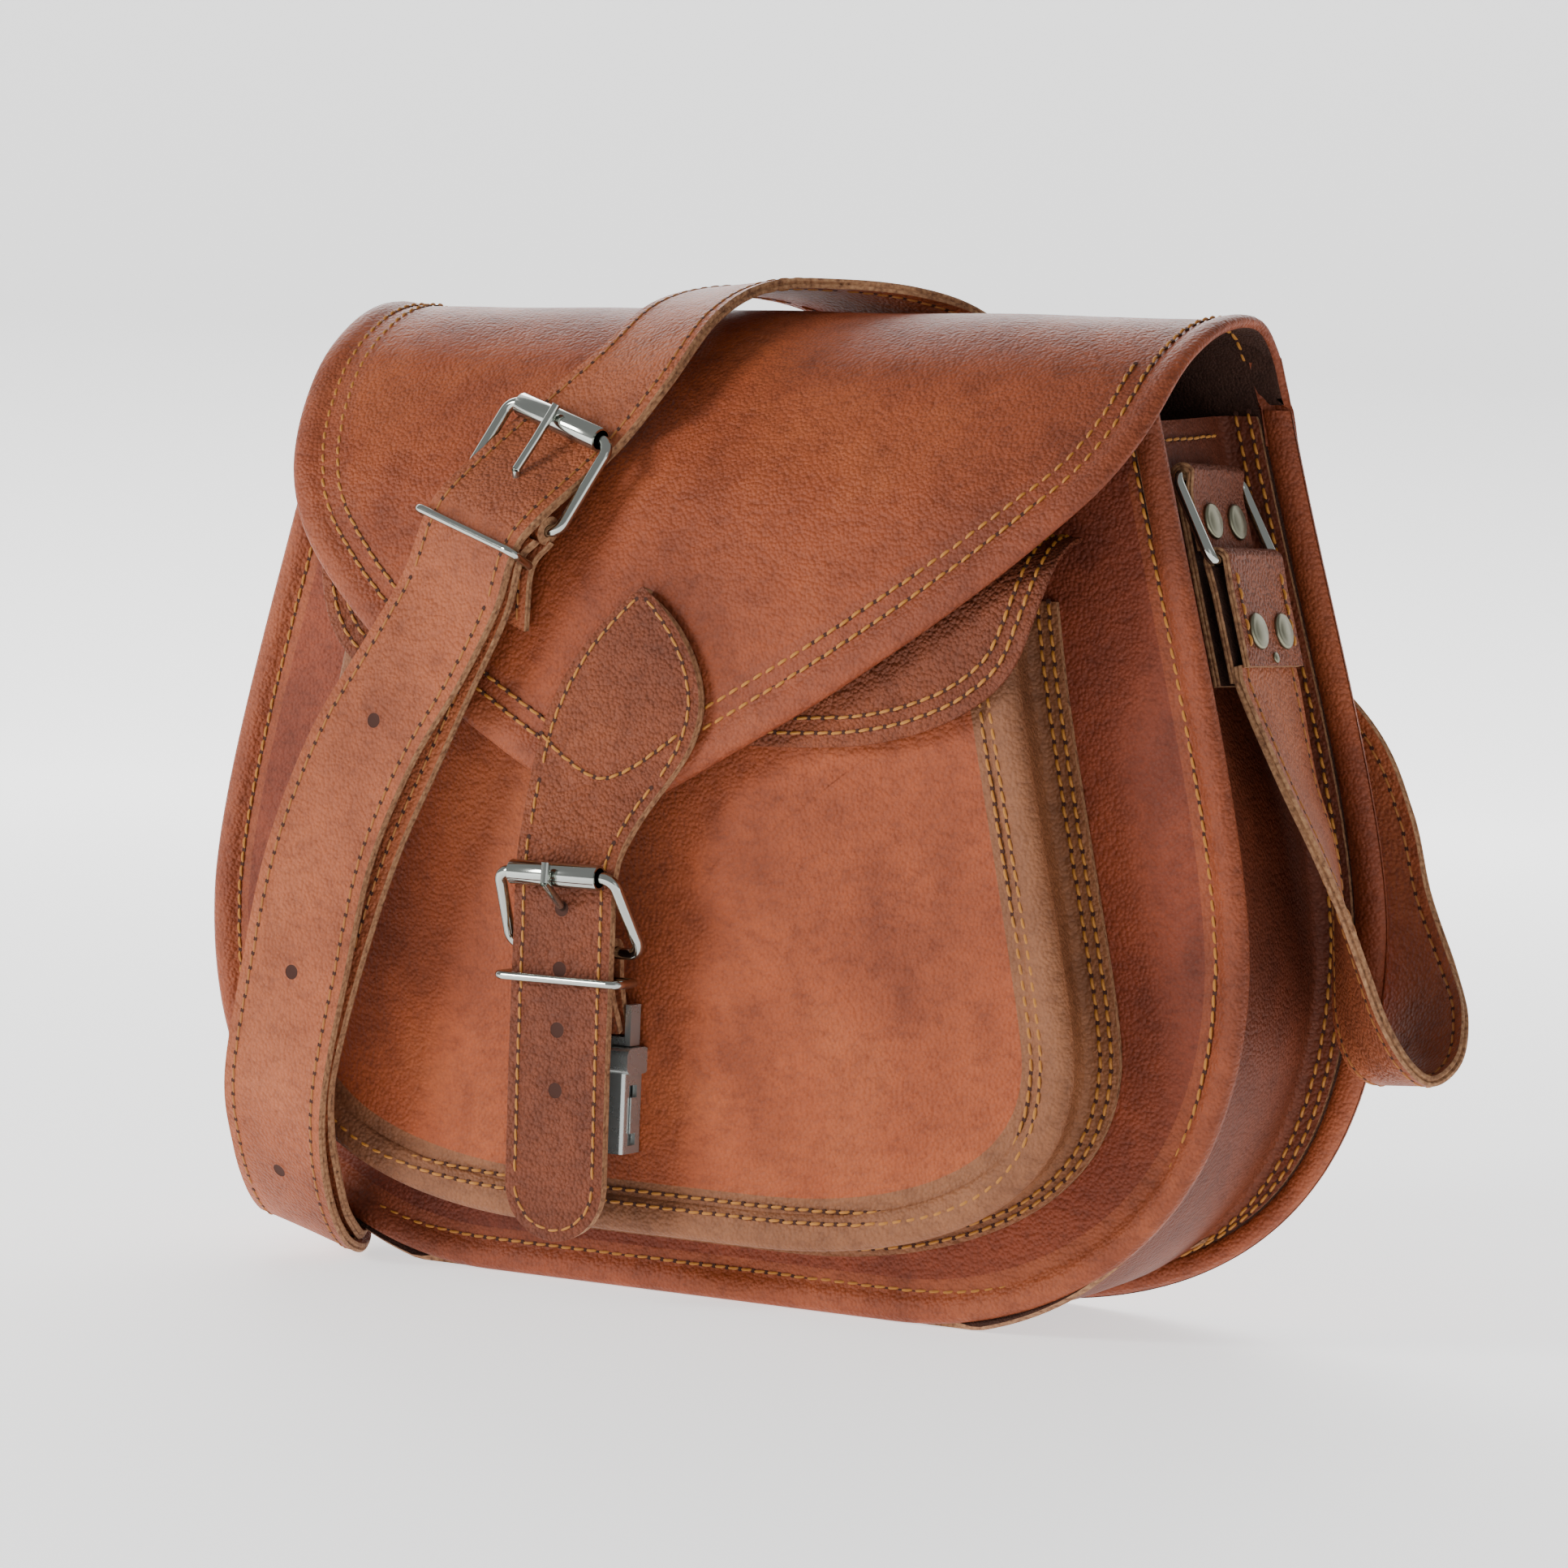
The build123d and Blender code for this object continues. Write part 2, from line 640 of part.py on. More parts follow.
SHOULDER_HEEL = Vector(-42.0, -69.0, 195.5)
SHOULDER_KEEPER = Vector(-47.4, -71.0, 187.0)
RISE = (SHOULDER_ROLLER - SHOULDER_HEEL).normalized()
SLANT = Vector(0.885, -0.25, -0.39)
ACROSS = (SLANT - RISE * SLANT.dot(RISE)).normalized()
OUT = ACROSS.cross(RISE).normalized()


def level(point, outward):
    """Strap station beside a point on the shoulder buckle, some distance outward of it."""
    centre = point + OUT * outward
    near, far = centre + ACROSS * (SHOULDER_WIDTH / 2), centre - ACROSS * (SHOULDER_WIDTH / 2)
    return (near.X, near.Y, near.Z), (far.X, far.Y, far.Z)


FRONT_RUN = [
    ((42.0, 20.0, 251.0), (15.5, 25.5, 237.0)),
    ((30.0, 8.0, 255.4), (2.0, 21.0, 247.0)),
    ((13.0, -2.0, 256.6), (-13.0, 15.5, 253.4)),
    ((0.0, -15.0, 255.0), (-26.5, 3.0, 254.4)),
    ((-3.0, -36.0, 246.0), (-31.5, -20.0, 249.0)),
    ((-7.0, -52.0, 228.5), (-35.0, -40.5, 235.5)),
    level(SHOULDER_ROLLER, -5.0),
    level(SHOULDER_HEEL, 5.8),
    level(SHOULDER_KEEPER, 5.8),
    ((-37.9, -79.0, 170.5), (-68.0, -74.4, 178.5)),
    ((-47.0, -79.6, 152.7), (-77.8, -76.6, 161.0)),
    ((-60.0, -80.0, 132.0), (-91.5, -78.5, 138.0)),
]
FRONT_TAIL = [
    ((-60.6, -80.0, 131.0), (-92.1, -78.5, 137.0)),
    ((-71.0, -80.4, 106.7), (-103.0, -79.6, 108.0)),
    ((-77.5, -80.4, 77.0), (-109.4, -79.8, 77.0)),
    ((-83.5, -79.0, 50.2), (-115.4, -77.0, 48.5)),
    ((-87.0, -74.5, 33.0), (-118.0, -68.5, 30.0)),
    ((-89.5, -66.0, 17.0), (-120.5, -58.5, 18.0)),
    ((-92.0, -55.0, 6.5), (-122.0, -49.5, 11.5)),
    ((-97.0, -40.0, 1.8), (-124.5, -42.0, 12.0)),
    ((-104.0, -26.5, 2.4), (-129.5, -38.0, 17.0)),
    ((-115.5, -12.5, 8.5), (-137.5, -33.5, 28.0)),
    ((-130.0, -1.0, 23.0), (-146.0, -27.5, 39.0)),
    ((-144.0, 7.0, 46.0), (-151.5, -25.0, 52.0)),
    ((-152.5, 7.5, 72.0), (-153.4, -24.5, 73.0)),
    ((-154.2, 7.5, 90.0), (-154.2, -24.5, 90.0)),
]
SHORT_FRONT = [
    level(SHOULDER_HEEL - RISE * 4.0, 2.4),
    level(SHOULDER_KEEPER, 2.6),
    ((-37.2, -75.0, 170.0), (-67.4, -71.2, 178.5)),
    ((-46.5, -75.2, 150.5), (-77.0, -72.8, 158.5)),
    ((-56.0, -75.4, 130.5), (-87.0, -74.2, 137.0)),
]
SHORT_LOWER = [
    ((-56.6, -75.4, 129.3), (-87.6, -74.2, 135.8)),
    ((-67.0, -75.6, 106.7), (-99.0, -75.0, 108.0)),
    ((-77.0, -75.6, 77.0), (-109.0, -75.2, 77.0)),
    ((-84.5, -74.0, 51.0), (-116.4, -72.2, 49.5)),
    ((-87.5, -69.8, 36.0), (-118.5, -64.0, 34.0)),
    ((-88.5, -65.0, 25.0), (-119.5, -58.5, 25.0)),
    ((-91.0, -57.0, 14.5), (-121.0, -51.5, 18.5)),
    ((-94.0, -48.0, 8.5), (-122.5, -45.0, 16.0)),
    ((-98.0, -38.5, 5.0), (-124.5, -41.0, 17.5)),
    ((-104.0, -27.0, 6.2), (-128.5, -37.0, 22.5)),
    ((-114.0, -14.0, 12.5), (-134.5, -33.0, 32.0)),
    ((-127.0, -2.0, 27.0), (-141.5, -28.0, 42.0)),
    ((-139.5, 6.0, 48.0), (-147.0, -25.5, 54.0)),
    ((-148.0, 7.5, 73.0), (-149.0, -24.5, 74.0)),
    ((-149.7, 7.5, 92.0), (-149.7, -24.5, 92.0)),
    ((-147.0, 7.5, 122.0), (-147.0, -24.5, 122.0)),
    ((-142.0, 7.2, 147.0), (-142.0, -24.8, 147.0)),
    ((-139.2, 7.0, 160.0), (-139.2, -25.0, 160.0)),
]
CHAPE_PLY = [
    level(SHOULDER_HEEL - RISE * 3.0, -2.6),
    level(SHOULDER_KEEPER, -2.6),
    ((-34.0, -70.6, 166.0), (-62.5, -68.4, 176.0)),
]


def strap_with_holes(stations, holes, name):
    """Ribbon with punched holes: each has a station's index, its share of the way, a length."""
    with BuildPart() as strap:
        add(ribbon(stations, STRAP).part)
        for index, share, length in holes:
            (near0, far0), (near1, far1) = stations[index], stations[index + 1]
            start = (Vector(*near0) + Vector(*far0)) * 0.5
            end = (Vector(*near1) + Vector(*far1)) * 0.5
            across = (Vector(*far0) - Vector(*near0)).normalized()
            normal = (end - start).cross(across)
            spot = start + (end - start) * share
            with BuildSketch(Plane(origin=spot, x_dir=end - start, z_dir=normal)):
                RectangleRounded(length, 3.9, 1.9)
            extrude(amount=6.0, both=True, mode=Mode.SUBTRACT)
    save(strap, name)


def shoulder_strap():
    save(ribbon(REAR_RUN, STRAP), "strap_rear_run")
    strap_with_holes(FRONT_RUN, [(6, 0.715, 6.6), (10, 0.4, 3.9)], "strap_front_run")
    strap_with_holes(FRONT_TAIL, [(1, 0.9, 3.9), (4, 0.3, 3.9)], "strap_tail")
    save(ribbon(SHORT_FRONT, STRAP), "short_strap_front")
    save(ribbon(SHORT_LOWER, STRAP), "short_strap_lower")


def shoulder_chape():
    """Fold of the short strap round the heel bar, and its cut ply that lies on the flap."""
    across = SHOULDER_WIDTH - 1.0
    with BuildPart() as chape:
        with BuildSketch(Plane(origin=SHOULDER_HEEL - ACROSS * (across / 2), z_dir=ACROSS)):
            Circle(WIRE + 2.2)
        extrude(amount=across)
        add(ribbon(CHAPE_PLY, 2.0).part)
        with BuildSketch(Plane(origin=SHOULDER_HEEL - ACROSS * across, z_dir=ACROSS)):
            Circle(WIRE + 0.15)
        extrude(amount=2 * across, mode=Mode.SUBTRACT)
        with BuildSketch(Plane(origin=SHOULDER_HEEL, x_dir=ACROSS, z_dir=OUT)):
            with Locations((0, 0.4)):
                Rectangle(4.4, 9.0)
        extrude(amount=7.0, both=True, mode=Mode.SUBTRACT)
    save(chape, "shoulder_chape")


def shoulder_buckle():
    """Roller buckle where the long strap meets the short one, slanting across the flap."""
    length = (SHOULDER_ROLLER - SHOULDER_HEEL).length
    middle = (SHOULDER_ROLLER + SHOULDER_HEEL) * 0.5
    buckle_frame(
        Plane(origin=middle, x_dir=ACROSS, z_dir=OUT), 18.4, 18.4, length,
        "shoulder_buckle_frame")
    roller(
        SHOULDER_ROLLER - ACROSS * 14.6, SHOULDER_ROLLER + ACROSS * 14.6, "shoulder_roller")
    side = Plane(origin=SHOULDER_HEEL, x_dir=OUT, z_dir=ACROSS * -1)
    tongue(
        side, [(1.2, 2.6), (0.6, 5.6), (5.0, 9.6), (4.6, 19.0), (4.7, length + 2.6)],
        "shoulder_tongue")
    middle = SHOULDER_KEEPER + OUT * 4.45
    keeper(Plane(origin=middle, x_dir=ACROSS, z_dir=RISE), 36.0, 9.4, "shoulder_keeper")


for make in (
        back_panel, back_edge_roll, main_gusset, front_panel, front_edge_roll, pocket_panel,
        pocket_edge_roll, pocket_gusset, pocket_flap, flap, flap_edge_roll, strap_leaf,
        closure_strap, closure_buckle, closure_chape, clip, shoulder_strap, shoulder_chape,
        shoulder_buckle):
    make()
for side, word in ((1, "right"), (-1, "left")):
    side_tab(side, f"side_tab_{word}")
    tab_rivets(side, f"side_tab_rivets_{word}")
    ring(side, f"ring_{word}")
    strap_end(side, f"strap_end_{word}")
    strap_end_rivets(side, f"strap_end_rivets_{word}")
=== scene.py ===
import math

import bmesh
import bpy
import numpy as np
from mathutils import Matrix, Vector, noise


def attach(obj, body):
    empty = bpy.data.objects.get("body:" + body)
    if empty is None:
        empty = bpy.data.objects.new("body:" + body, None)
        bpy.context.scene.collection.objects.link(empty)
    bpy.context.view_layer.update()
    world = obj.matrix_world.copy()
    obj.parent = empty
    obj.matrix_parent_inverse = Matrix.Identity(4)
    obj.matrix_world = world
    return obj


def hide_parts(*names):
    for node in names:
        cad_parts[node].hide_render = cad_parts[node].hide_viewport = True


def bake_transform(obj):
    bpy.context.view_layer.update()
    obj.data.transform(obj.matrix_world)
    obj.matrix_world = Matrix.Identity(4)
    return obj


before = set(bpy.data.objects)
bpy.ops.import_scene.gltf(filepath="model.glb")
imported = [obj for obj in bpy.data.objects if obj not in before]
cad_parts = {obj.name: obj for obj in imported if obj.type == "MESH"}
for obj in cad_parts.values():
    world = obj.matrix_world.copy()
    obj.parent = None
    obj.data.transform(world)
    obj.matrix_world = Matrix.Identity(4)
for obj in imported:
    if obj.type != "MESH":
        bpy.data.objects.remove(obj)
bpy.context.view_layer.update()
MM = 0.001
scene = bpy.context.scene

# ---- camera ----------------------------------------------------------------------------------
AZIMUTH, ELEVATION, ROLL = math.radians(29.29), math.radians(3.01), math.radians(2.31)
EYE = (0.6258, -1.1132, 0.1954)
LENS, SENSOR = 114.0, 36.0
back = Vector((math.sin(AZIMUTH) * math.cos(ELEVATION), -math.cos(AZIMUTH) * math.cos(ELEVATION),
               math.sin(ELEVATION)))
level_right = Vector((math.cos(AZIMUTH), math.sin(AZIMUTH), 0))
level_up = back.cross(level_right)
right = level_right * math.cos(ROLL) + level_up * math.sin(ROLL)
up = back.cross(right)
lens = bpy.data.cameras.new("camera")
lens.lens = LENS
lens.sensor_width = SENSOR
camera = bpy.data.objects.new("camera", lens)
camera.matrix_world = Matrix([(right[k], up[k], back[k], EYE[k]) for k in range(3)]
                             + [(0, 0, 0, 1)])
scene.collection.objects.link(camera)
scene.camera = camera


# ---- materials -------------------------------------------------------------------------------
MIX_SHARE, MIX_A, MIX_B, MIX_RESULT = 0, 6, 7, 2    # sockets of a Mix node that mixes colours
SHEEN = 0.3


def srgb(r, g, b):
    """Scene colour for a screen colour of 0 to 255."""
    return tuple((c / 255 / 12.92) if c <= 10 else ((c / 255 + 0.055) / 1.055) ** 2.4
                 for c in (r, g, b)) + (1.0,)


def new_material(name):
    """An empty material with its nodes, links and shader."""
    material = bpy.data.materials.new(name)
    material.use_nodes = True
    nodes, links = material.node_tree.nodes, material.node_tree.links
    return material, nodes, links, nodes["Principled BSDF"]


def textured(nodes, links, kind, scale, stretch=(1, 1, 1), **settings):
    """A procedural texture on object coordinates, its scale in features per metre."""
    place = nodes.new("ShaderNodeTexCoord")
    mapping = nodes.new("ShaderNodeMapping")
    mapping.inputs["Scale"].default_value = stretch
    links.new(place.outputs["Object"], mapping.inputs["Vector"])
    texture = nodes.new(kind)
    texture.inputs["Scale"].default_value = scale
    for key, value in settings.items():
        texture.inputs[key].default_value = value
    links.new(mapping.outputs["Vector"], texture.inputs["Vector"])
    return texture


def ramp(nodes, links, source, stops):
    """Colour ramp over a source; stops are (position, colour)."""
    node = nodes.new("ShaderNodeValToRGB")
    elements = node.color_ramp.elements
    while len(elements) < len(stops):
        elements.new(0.5)
    for element, (position, colour) in zip(elements, stops):
        element.position = position
        element.color = colour
    links.new(source, node.inputs["Fac"])
    return node


def multiply(nodes, links, colour, by, share):
    """A colour multiplied by another, at a share of full strength."""
    mix = nodes.new("ShaderNodeMix")
    mix.data_type = "RGBA"
    mix.blend_type = "MULTIPLY"
    mix.inputs[MIX_SHARE].default_value = share
    links.new(colour, mix.inputs[MIX_A])
    links.new(by.outputs["Color"], mix.inputs[MIX_B])
    return mix.outputs[MIX_RESULT]


def bumped(nodes, links, height, strength, distance):
    """A bump over a source of height, its distance in metres."""
    bump = nodes.new("ShaderNodeBump")
    bump.inputs["Strength"].default_value = strength
    bump.inputs["Distance"].default_value = distance
    links.new(height, bump.inputs["Height"])
    return bump


def vary_roughness(nodes, links, shader, source, low, high):
    """Roughness from low to high as the source goes from 0 to 1."""
    spread = nodes.new("ShaderNodeMapRange")
    spread.inputs["To Min"].default_value = low
    spread.inputs["To Max"].default_value = high
    links.new(source, spread.inputs["Value"])
    links.new(spread.outputs["Result"], shader.inputs["Roughness"])


def leather(name, dark, base, light, grain=0.5, rough=(0.44, 0.62), fine=1000.0):
    """Waxed leather: cloudy colour, darker rubbed patches, small pebbles and soft creases."""
    material, nodes, links, shader = new_material(name)
    cloud = textured(nodes, links, "ShaderNodeTexNoise", 15.0, Detail=6.0, Roughness=0.62)
    colour = ramp(nodes, links, cloud.outputs["Fac"], [(0.22, dark), (0.52, base), (0.80, light)])
    rub = textured(nodes, links, "ShaderNodeTexNoise", 70.0, (1, 1, 0.6), Detail=5.0)
    worn = ramp(nodes, links, rub.outputs["Fac"],
                [(0.28, (0.60, 0.55, 0.52, 1)), (0.48, (0.95, 0.95, 0.95, 1)),
                 (0.75, (1.08, 1.06, 1.03, 1))])
    pebble = textured(nodes, links, "ShaderNodeTexVoronoi", fine)
    pores = ramp(nodes, links, pebble.outputs["Distance"],
                 [(0.0, (1.03, 1.03, 1.03, 1)), (0.5, (0.97, 0.97, 0.97, 1)),
                  (0.95, (0.80, 0.78, 0.76, 1))])
    crease = textured(nodes, links, "ShaderNodeTexNoise", 230.0, (1.0, 1.0, 1.7), Detail=8.0,
                      Roughness=0.7)
    mottle = ramp(nodes, links, crease.outputs["Fac"],
                  [(0.34, (0.62, 0.56, 0.52, 1)), (0.5, (1.0, 1.0, 1.0, 1)),
                   (0.66, (1.14, 1.13, 1.1, 1))])
    tone = colour.outputs["Color"]
    for layer, share in ((worn, 0.62), (pores, 0.65), (mottle, 0.6)):
        tone = multiply(nodes, links, tone, layer, share)
    links.new(tone, shader.inputs["Base Color"])
    shader.inputs["Specular IOR Level"].default_value = SHEEN
    vary_roughness(nodes, links, shader, cloud.outputs["Fac"], rough[1], rough[0])
    pebbles = bumped(nodes, links, pebble.outputs["Distance"], grain, 0.0008)
    pebbles.invert = True
    creases = bumped(nodes, links, crease.outputs["Fac"], 0.45, 0.0008)
    links.new(pebbles.outputs["Normal"], creases.inputs["Normal"])
    links.new(creases.outputs["Normal"], shader.inputs["Normal"])
    return material


TAN = leather("tan_leather", srgb(112, 50, 27), srgb(160, 78, 42), srgb(186, 100, 57))
FLAP_TAN = leather("flap_leather", srgb(102, 45, 24), srgb(146, 70, 37), srgb(176, 93, 51))
# Painted shade: the front panel is a darker copy of the tan leather, for the shade under the pocket and
# near the base.
SHADED_FRONT = leather("front_leather", srgb(80, 32, 20), srgb(124, 55, 32), srgb(156, 75, 44))
ROLLED = leather("rolled_leather", srgb(100, 46, 27), srgb(142, 70, 41), srgb(170, 92, 56))
# Painted shade: the gusset is a darker copy of the tan leather, for the side of the bag turned away
# from the key light.
SHADED_GUSSET = leather("gusset_leather", srgb(78, 36, 22), srgb(108, 52, 31), srgb(128, 66, 40),
                 rough=(0.5, 0.65))
DULL = leather("dull_leather", srgb(104, 66, 44), srgb(138, 88, 58), srgb(158, 104, 70),
               rough=(0.5, 0.62))
DARK = leather("dark_leather", srgb(88, 42, 26), srgb(128, 66, 40), srgb(152, 82, 51), grain=1.0)
STRAP = leather("strap_leather", srgb(120, 60, 36), srgb(160, 86, 52), srgb(180, 104, 66),
                grain=0.65)
# Flesh side of the leather, made darker than its own colour as painted shade, for inner and rear faces
# that sit in shadow.
SHADED_FLESH_SIDE = leather("flesh_side_painted_shade", srgb(50, 30, 23), srgb(66, 40, 30), srgb(80, 50, 37),
                 rough=(0.75, 0.9), fine=1600.0)


def raw_edge():
    """Cut edge of leather, lighter and fibrous."""
    material, nodes, links, shader = new_material("raw_edge")
    fibre = textured(nodes, links, "ShaderNodeTexNoise", 900.0, Detail=5.0)
    colour = ramp(nodes, links, fibre.outputs["Fac"],
                  [(0.3, srgb(98, 62, 40)), (0.5, srgb(146, 104, 72)), (0.75, srgb(176, 134, 96))])
    links.new(colour.outputs["Color"], shader.inputs["Base Color"])
    shader.inputs["Roughness"].default_value = 0.85
    bump = bumped(nodes, links, fibre.outputs["Fac"], 0.5, 0.0002)
    links.new(bump.outputs["Normal"], shader.inputs["Normal"])
    return material


def plain(name, colour, rough, metallic=0.0, noisy=0.0, scale=60.0):
    """One colour; noisy is how far the roughness strays, at scale features per metre."""
    material, nodes, links, shader = new_material(name)
    shader.inputs["Base Color"].default_value = colour
    shader.inputs["Metallic"].default_value = metallic
    shader.inputs["Roughness"].default_value = rough
    if noisy:
        wear = textured(nodes, links, "ShaderNodeTexNoise", scale, Detail=6.0)
        vary_roughness(nodes, links, shader, wear.outputs["Fac"], max(rough - noisy, 0.03),
                       rough + noisy)
    return material


RAW = raw_edge()
THREAD = plain("waxed_thread", srgb(176, 116, 42), 0.6, noisy=0.15, scale=900.0)
FINE = plain("fine_thread", srgb(158, 100, 44), 0.65, noisy=0.15, scale=900.0)
# Painted shade: near-black brown for the insides of needle holes, for the closed dark disks that stand
# for punched strap holes, and for the roller's slit.
HOLE_SHADE = plain("painted_hole_shade", srgb(60, 28, 16), 0.9)
NICKEL = plain("polished_nickel", srgb(178, 182, 176), 0.12, 1.0, noisy=0.06, scale=120.0)
GUN = plain("gunmetal_nickel", srgb(186, 192, 190), 0.28, 0.75, noisy=0.1, scale=200.0)
CAP = plain("dull_rivet_nickel", srgb(132, 130, 110), 0.34, 1.0, noisy=0.12, scale=260.0)


# ---- mesh helpers, in millimetres --------------------------------------------------------------
SMOOTH_ANGLE = 55
METAL_ANGLE = 35


class Piece:
    """Collects grids of points, in millimetres, into one mesh of several materials."""

    def __init__(self, name):
        self.name, self.verts, self.faces, self.marks, self.mats = name, [], [], [], []
        self.count = 0

    def slot(self, material):
        """Number of a material's slot, which is made if it isn't there."""
        if material not in self.mats:
            self.mats.append(material)
        return self.mats.index(material)

    def loops(self, rings, materials, closed_ends=True):
        """Stack of equal rings of points; materials is one, or one for each gap between rings."""
        rings = [np.asarray(r, float) for r in rings]
        n = len(rings[0])
        start = self.count
        self.verts.append(np.concatenate(rings))
        self.count += n * len(rings)
        for k in range(len(rings) - 1):
            material = materials[k] if isinstance(materials, (list, tuple)) else materials
            mark = self.slot(material)
            for i in range(n):
                j = (i + 1) % n
                a, b = start + k * n, start + (k + 1) * n
                self.faces.append((a + i, a + j, b + j, b + i))
                self.marks.append(mark)
        if closed_ends:
            first, last = (materials[0], materials[-1]) if isinstance(
                materials, (list, tuple)) else (materials, materials)
            self.faces.append(tuple(range(start + n - 1, start - 1, -1)))
            self.marks.append(self.slot(first))
            end = start + n * (len(rings) - 1)
            self.faces.append(tuple(range(end, end + n)))
            self.marks.append(self.slot(last))

    def build(self, body=None, node=(), slot=None):
        """Make the object, carried by a body and standing in for the given CAD nodes."""
        mesh = bpy.data.meshes.new(self.name)
        points = np.concatenate(self.verts) * MM
        mesh.from_pydata(points.tolist(), [], self.faces)
        for material in self.mats:
            mesh.materials.append(material)
        mesh.polygons.foreach_set("material_index", self.marks)
        work = bmesh.new()
        work.from_mesh(mesh)
        bmesh.ops.recalc_face_normals(work, faces=work.faces)
        work.to_mesh(mesh)
        work.free()
        mesh.polygons.foreach_set("use_smooth", [True] * len(mesh.polygons))
        mesh.set_sharp_from_angle(angle=math.radians(SMOOTH_ANGLE))
        thing = bpy.data.objects.new(self.name, mesh)
        scene.collection.objects.link(thing)
        if body:
            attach(thing, body)
        if node:
            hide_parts(*node)
        return thing


def bezier(p0, p1, p2, p3, n):
    """n points along a cubic Bezier curve."""
    t = np.linspace(0, 1, n)[:, None]
    p0, p1, p2, p3 = (np.array(p, float) for p in (p0, p1, p2, p3))
    return (1 - t) ** 3 * p0 + 3 * (1 - t) ** 2 * t * p1 + 3 * (1 - t) * t ** 2 * p2 + t ** 3 * p3


def spline(points, per=12):
    """Catmull-Rom curve through points of any dimension."""
    p = np.asarray(points, float)
    p = np.concatenate([[2 * p[0] - p[1]], p, [2 * p[-1] - p[-2]]])
    out = []
    for i in range(1, len(p) - 2):
        for t in np.linspace(0, 1, per, endpoint=False):
            out.append(0.5 * (2 * p[i] + (p[i + 1] - p[i - 1]) * t
                              + (2 * p[i - 1] - 5 * p[i] + 4 * p[i + 1] - p[i + 2]) * t ** 2
                              + (3 * p[i] - p[i - 1] - 3 * p[i + 1] + p[i + 2]) * t ** 3))
    out.append(p[-2])
    return np.array(out)


def resample(points, step, closed=False):
    """Evenly spaced points on a line, about a step apart."""
    p = np.asarray(points, float)
    if closed:
        p = np.concatenate([p, p[:1]])
    length = np.concatenate([[0], np.cumsum(np.linalg.norm(np.diff(p, axis=0), axis=1))])
    count = max(int(round(length[-1] / step)), 3) + 1
    at = np.linspace(0, length[-1], count)
    out = np.stack([np.interp(at, length, p[:, k]) for k in range(p.shape[1])], 1)
    return out[:-1] if closed else out


def u_path(half, top, wide_z, base, base_z, top_pull, low_pull):
    """Right upper corner, down, across the base and up to the left upper corner.

    half is half the greatest width, at height wide_z; top is the upper corner; base is half the flat
    part of the base, at height base_z; and the pulls place the handles of the curves between them.
    """
    cx, cz = top
    side = np.concatenate([
        bezier((cx, cz), (cx + top_pull[0], cz - top_pull[1]), (half, wide_z + top_pull[2]),
               (half, wide_z), 40)[:-1],
        bezier((half, wide_z), (half, wide_z - low_pull[0]), (base + low_pull[1], base_z),
               (base, base_z), 40)])
    middle = np.stack([np.linspace(base, -base, 16), np.full(16, base_z)], 1)[1:-1]
    return np.concatenate([side, middle, side[::-1] * [-1, 1]])


def front_path(inset=0.0):
    """Edge of the front panel, or a line inside it."""
    return u_path(150.0 - inset, (120.0 - inset, 225.0), 91.0, 60.0, inset, (11, 45, 30),
                  (70, 35))


def back_path(inset=0.0):
    """Edge of the back panel, or a line inside it."""
    return u_path(161.0 - inset, (129.0 - inset, 228.0), 97.0, 60.0, inset, (11, 45, 30),
                  (72, 55))


def gusset_path():
    """Line of the main gusset, where it leaves the front panel."""
    return u_path(143.0, (110.5, 226.0), 91.0, 60.0, 0.0, (13.5, 55, 30), (70, 35))


def pocket_path(inset=0.0):
    """Edge of the pocket panel, or a line inside it, or outside it if inset is negative."""
    return u_path(115.2 - inset, (93.0 - inset, 179.0), 68.0, 30.0, 17.5 + inset,
                  (6.5, 44, 16), (36, 45))


def facing(line, point):
    """Unit normals of an open 2-D line, turned to the point's side."""
    step = np.gradient(line, axis=0)
    step /= np.linalg.norm(step, axis=1)[:, None]
    normal = np.stack([step[:, 1], -step[:, 0]], 1)
    side = np.sign(np.sum(normal * (np.array(point) - line), axis=1))
    return normal * side[:, None]


def circle(centre, u, v, radius, count):
    """Points of a circle round a centre, in the plane of u and v."""
    return [centre + (u * math.cos(a) + v * math.sin(a)) * radius
            for a in np.linspace(0, 2 * math.pi, count, endpoint=False)]


def inward(outline):
    """Unit normals of a closed 2-D outline, pointing to its inside."""
    forward = np.roll(outline, -1, 0) - np.roll(outline, 1, 0)
    forward /= np.linalg.norm(forward, axis=1)[:, None]
    normal = np.stack([-forward[:, 1], forward[:, 0]], 1)
    x, y = outline[:, 0], outline[:, 1]
    area = np.sum(x * np.roll(y, -1) - y * np.roll(x, -1))
    return normal if area > 0 else -normal


def wave(points, amp, scale, seed):
    """Slow random height at each point, in the same unit as amp."""
    return np.array([amp * noise.noise(Vector((p[0] / scale, p[1] / scale, seed)))
                     for p in points])


WAVE = 45.0         # length of a panel's slow waves
NEAR_ALL = 0.99     # the innermost ring's share of the way to the centre


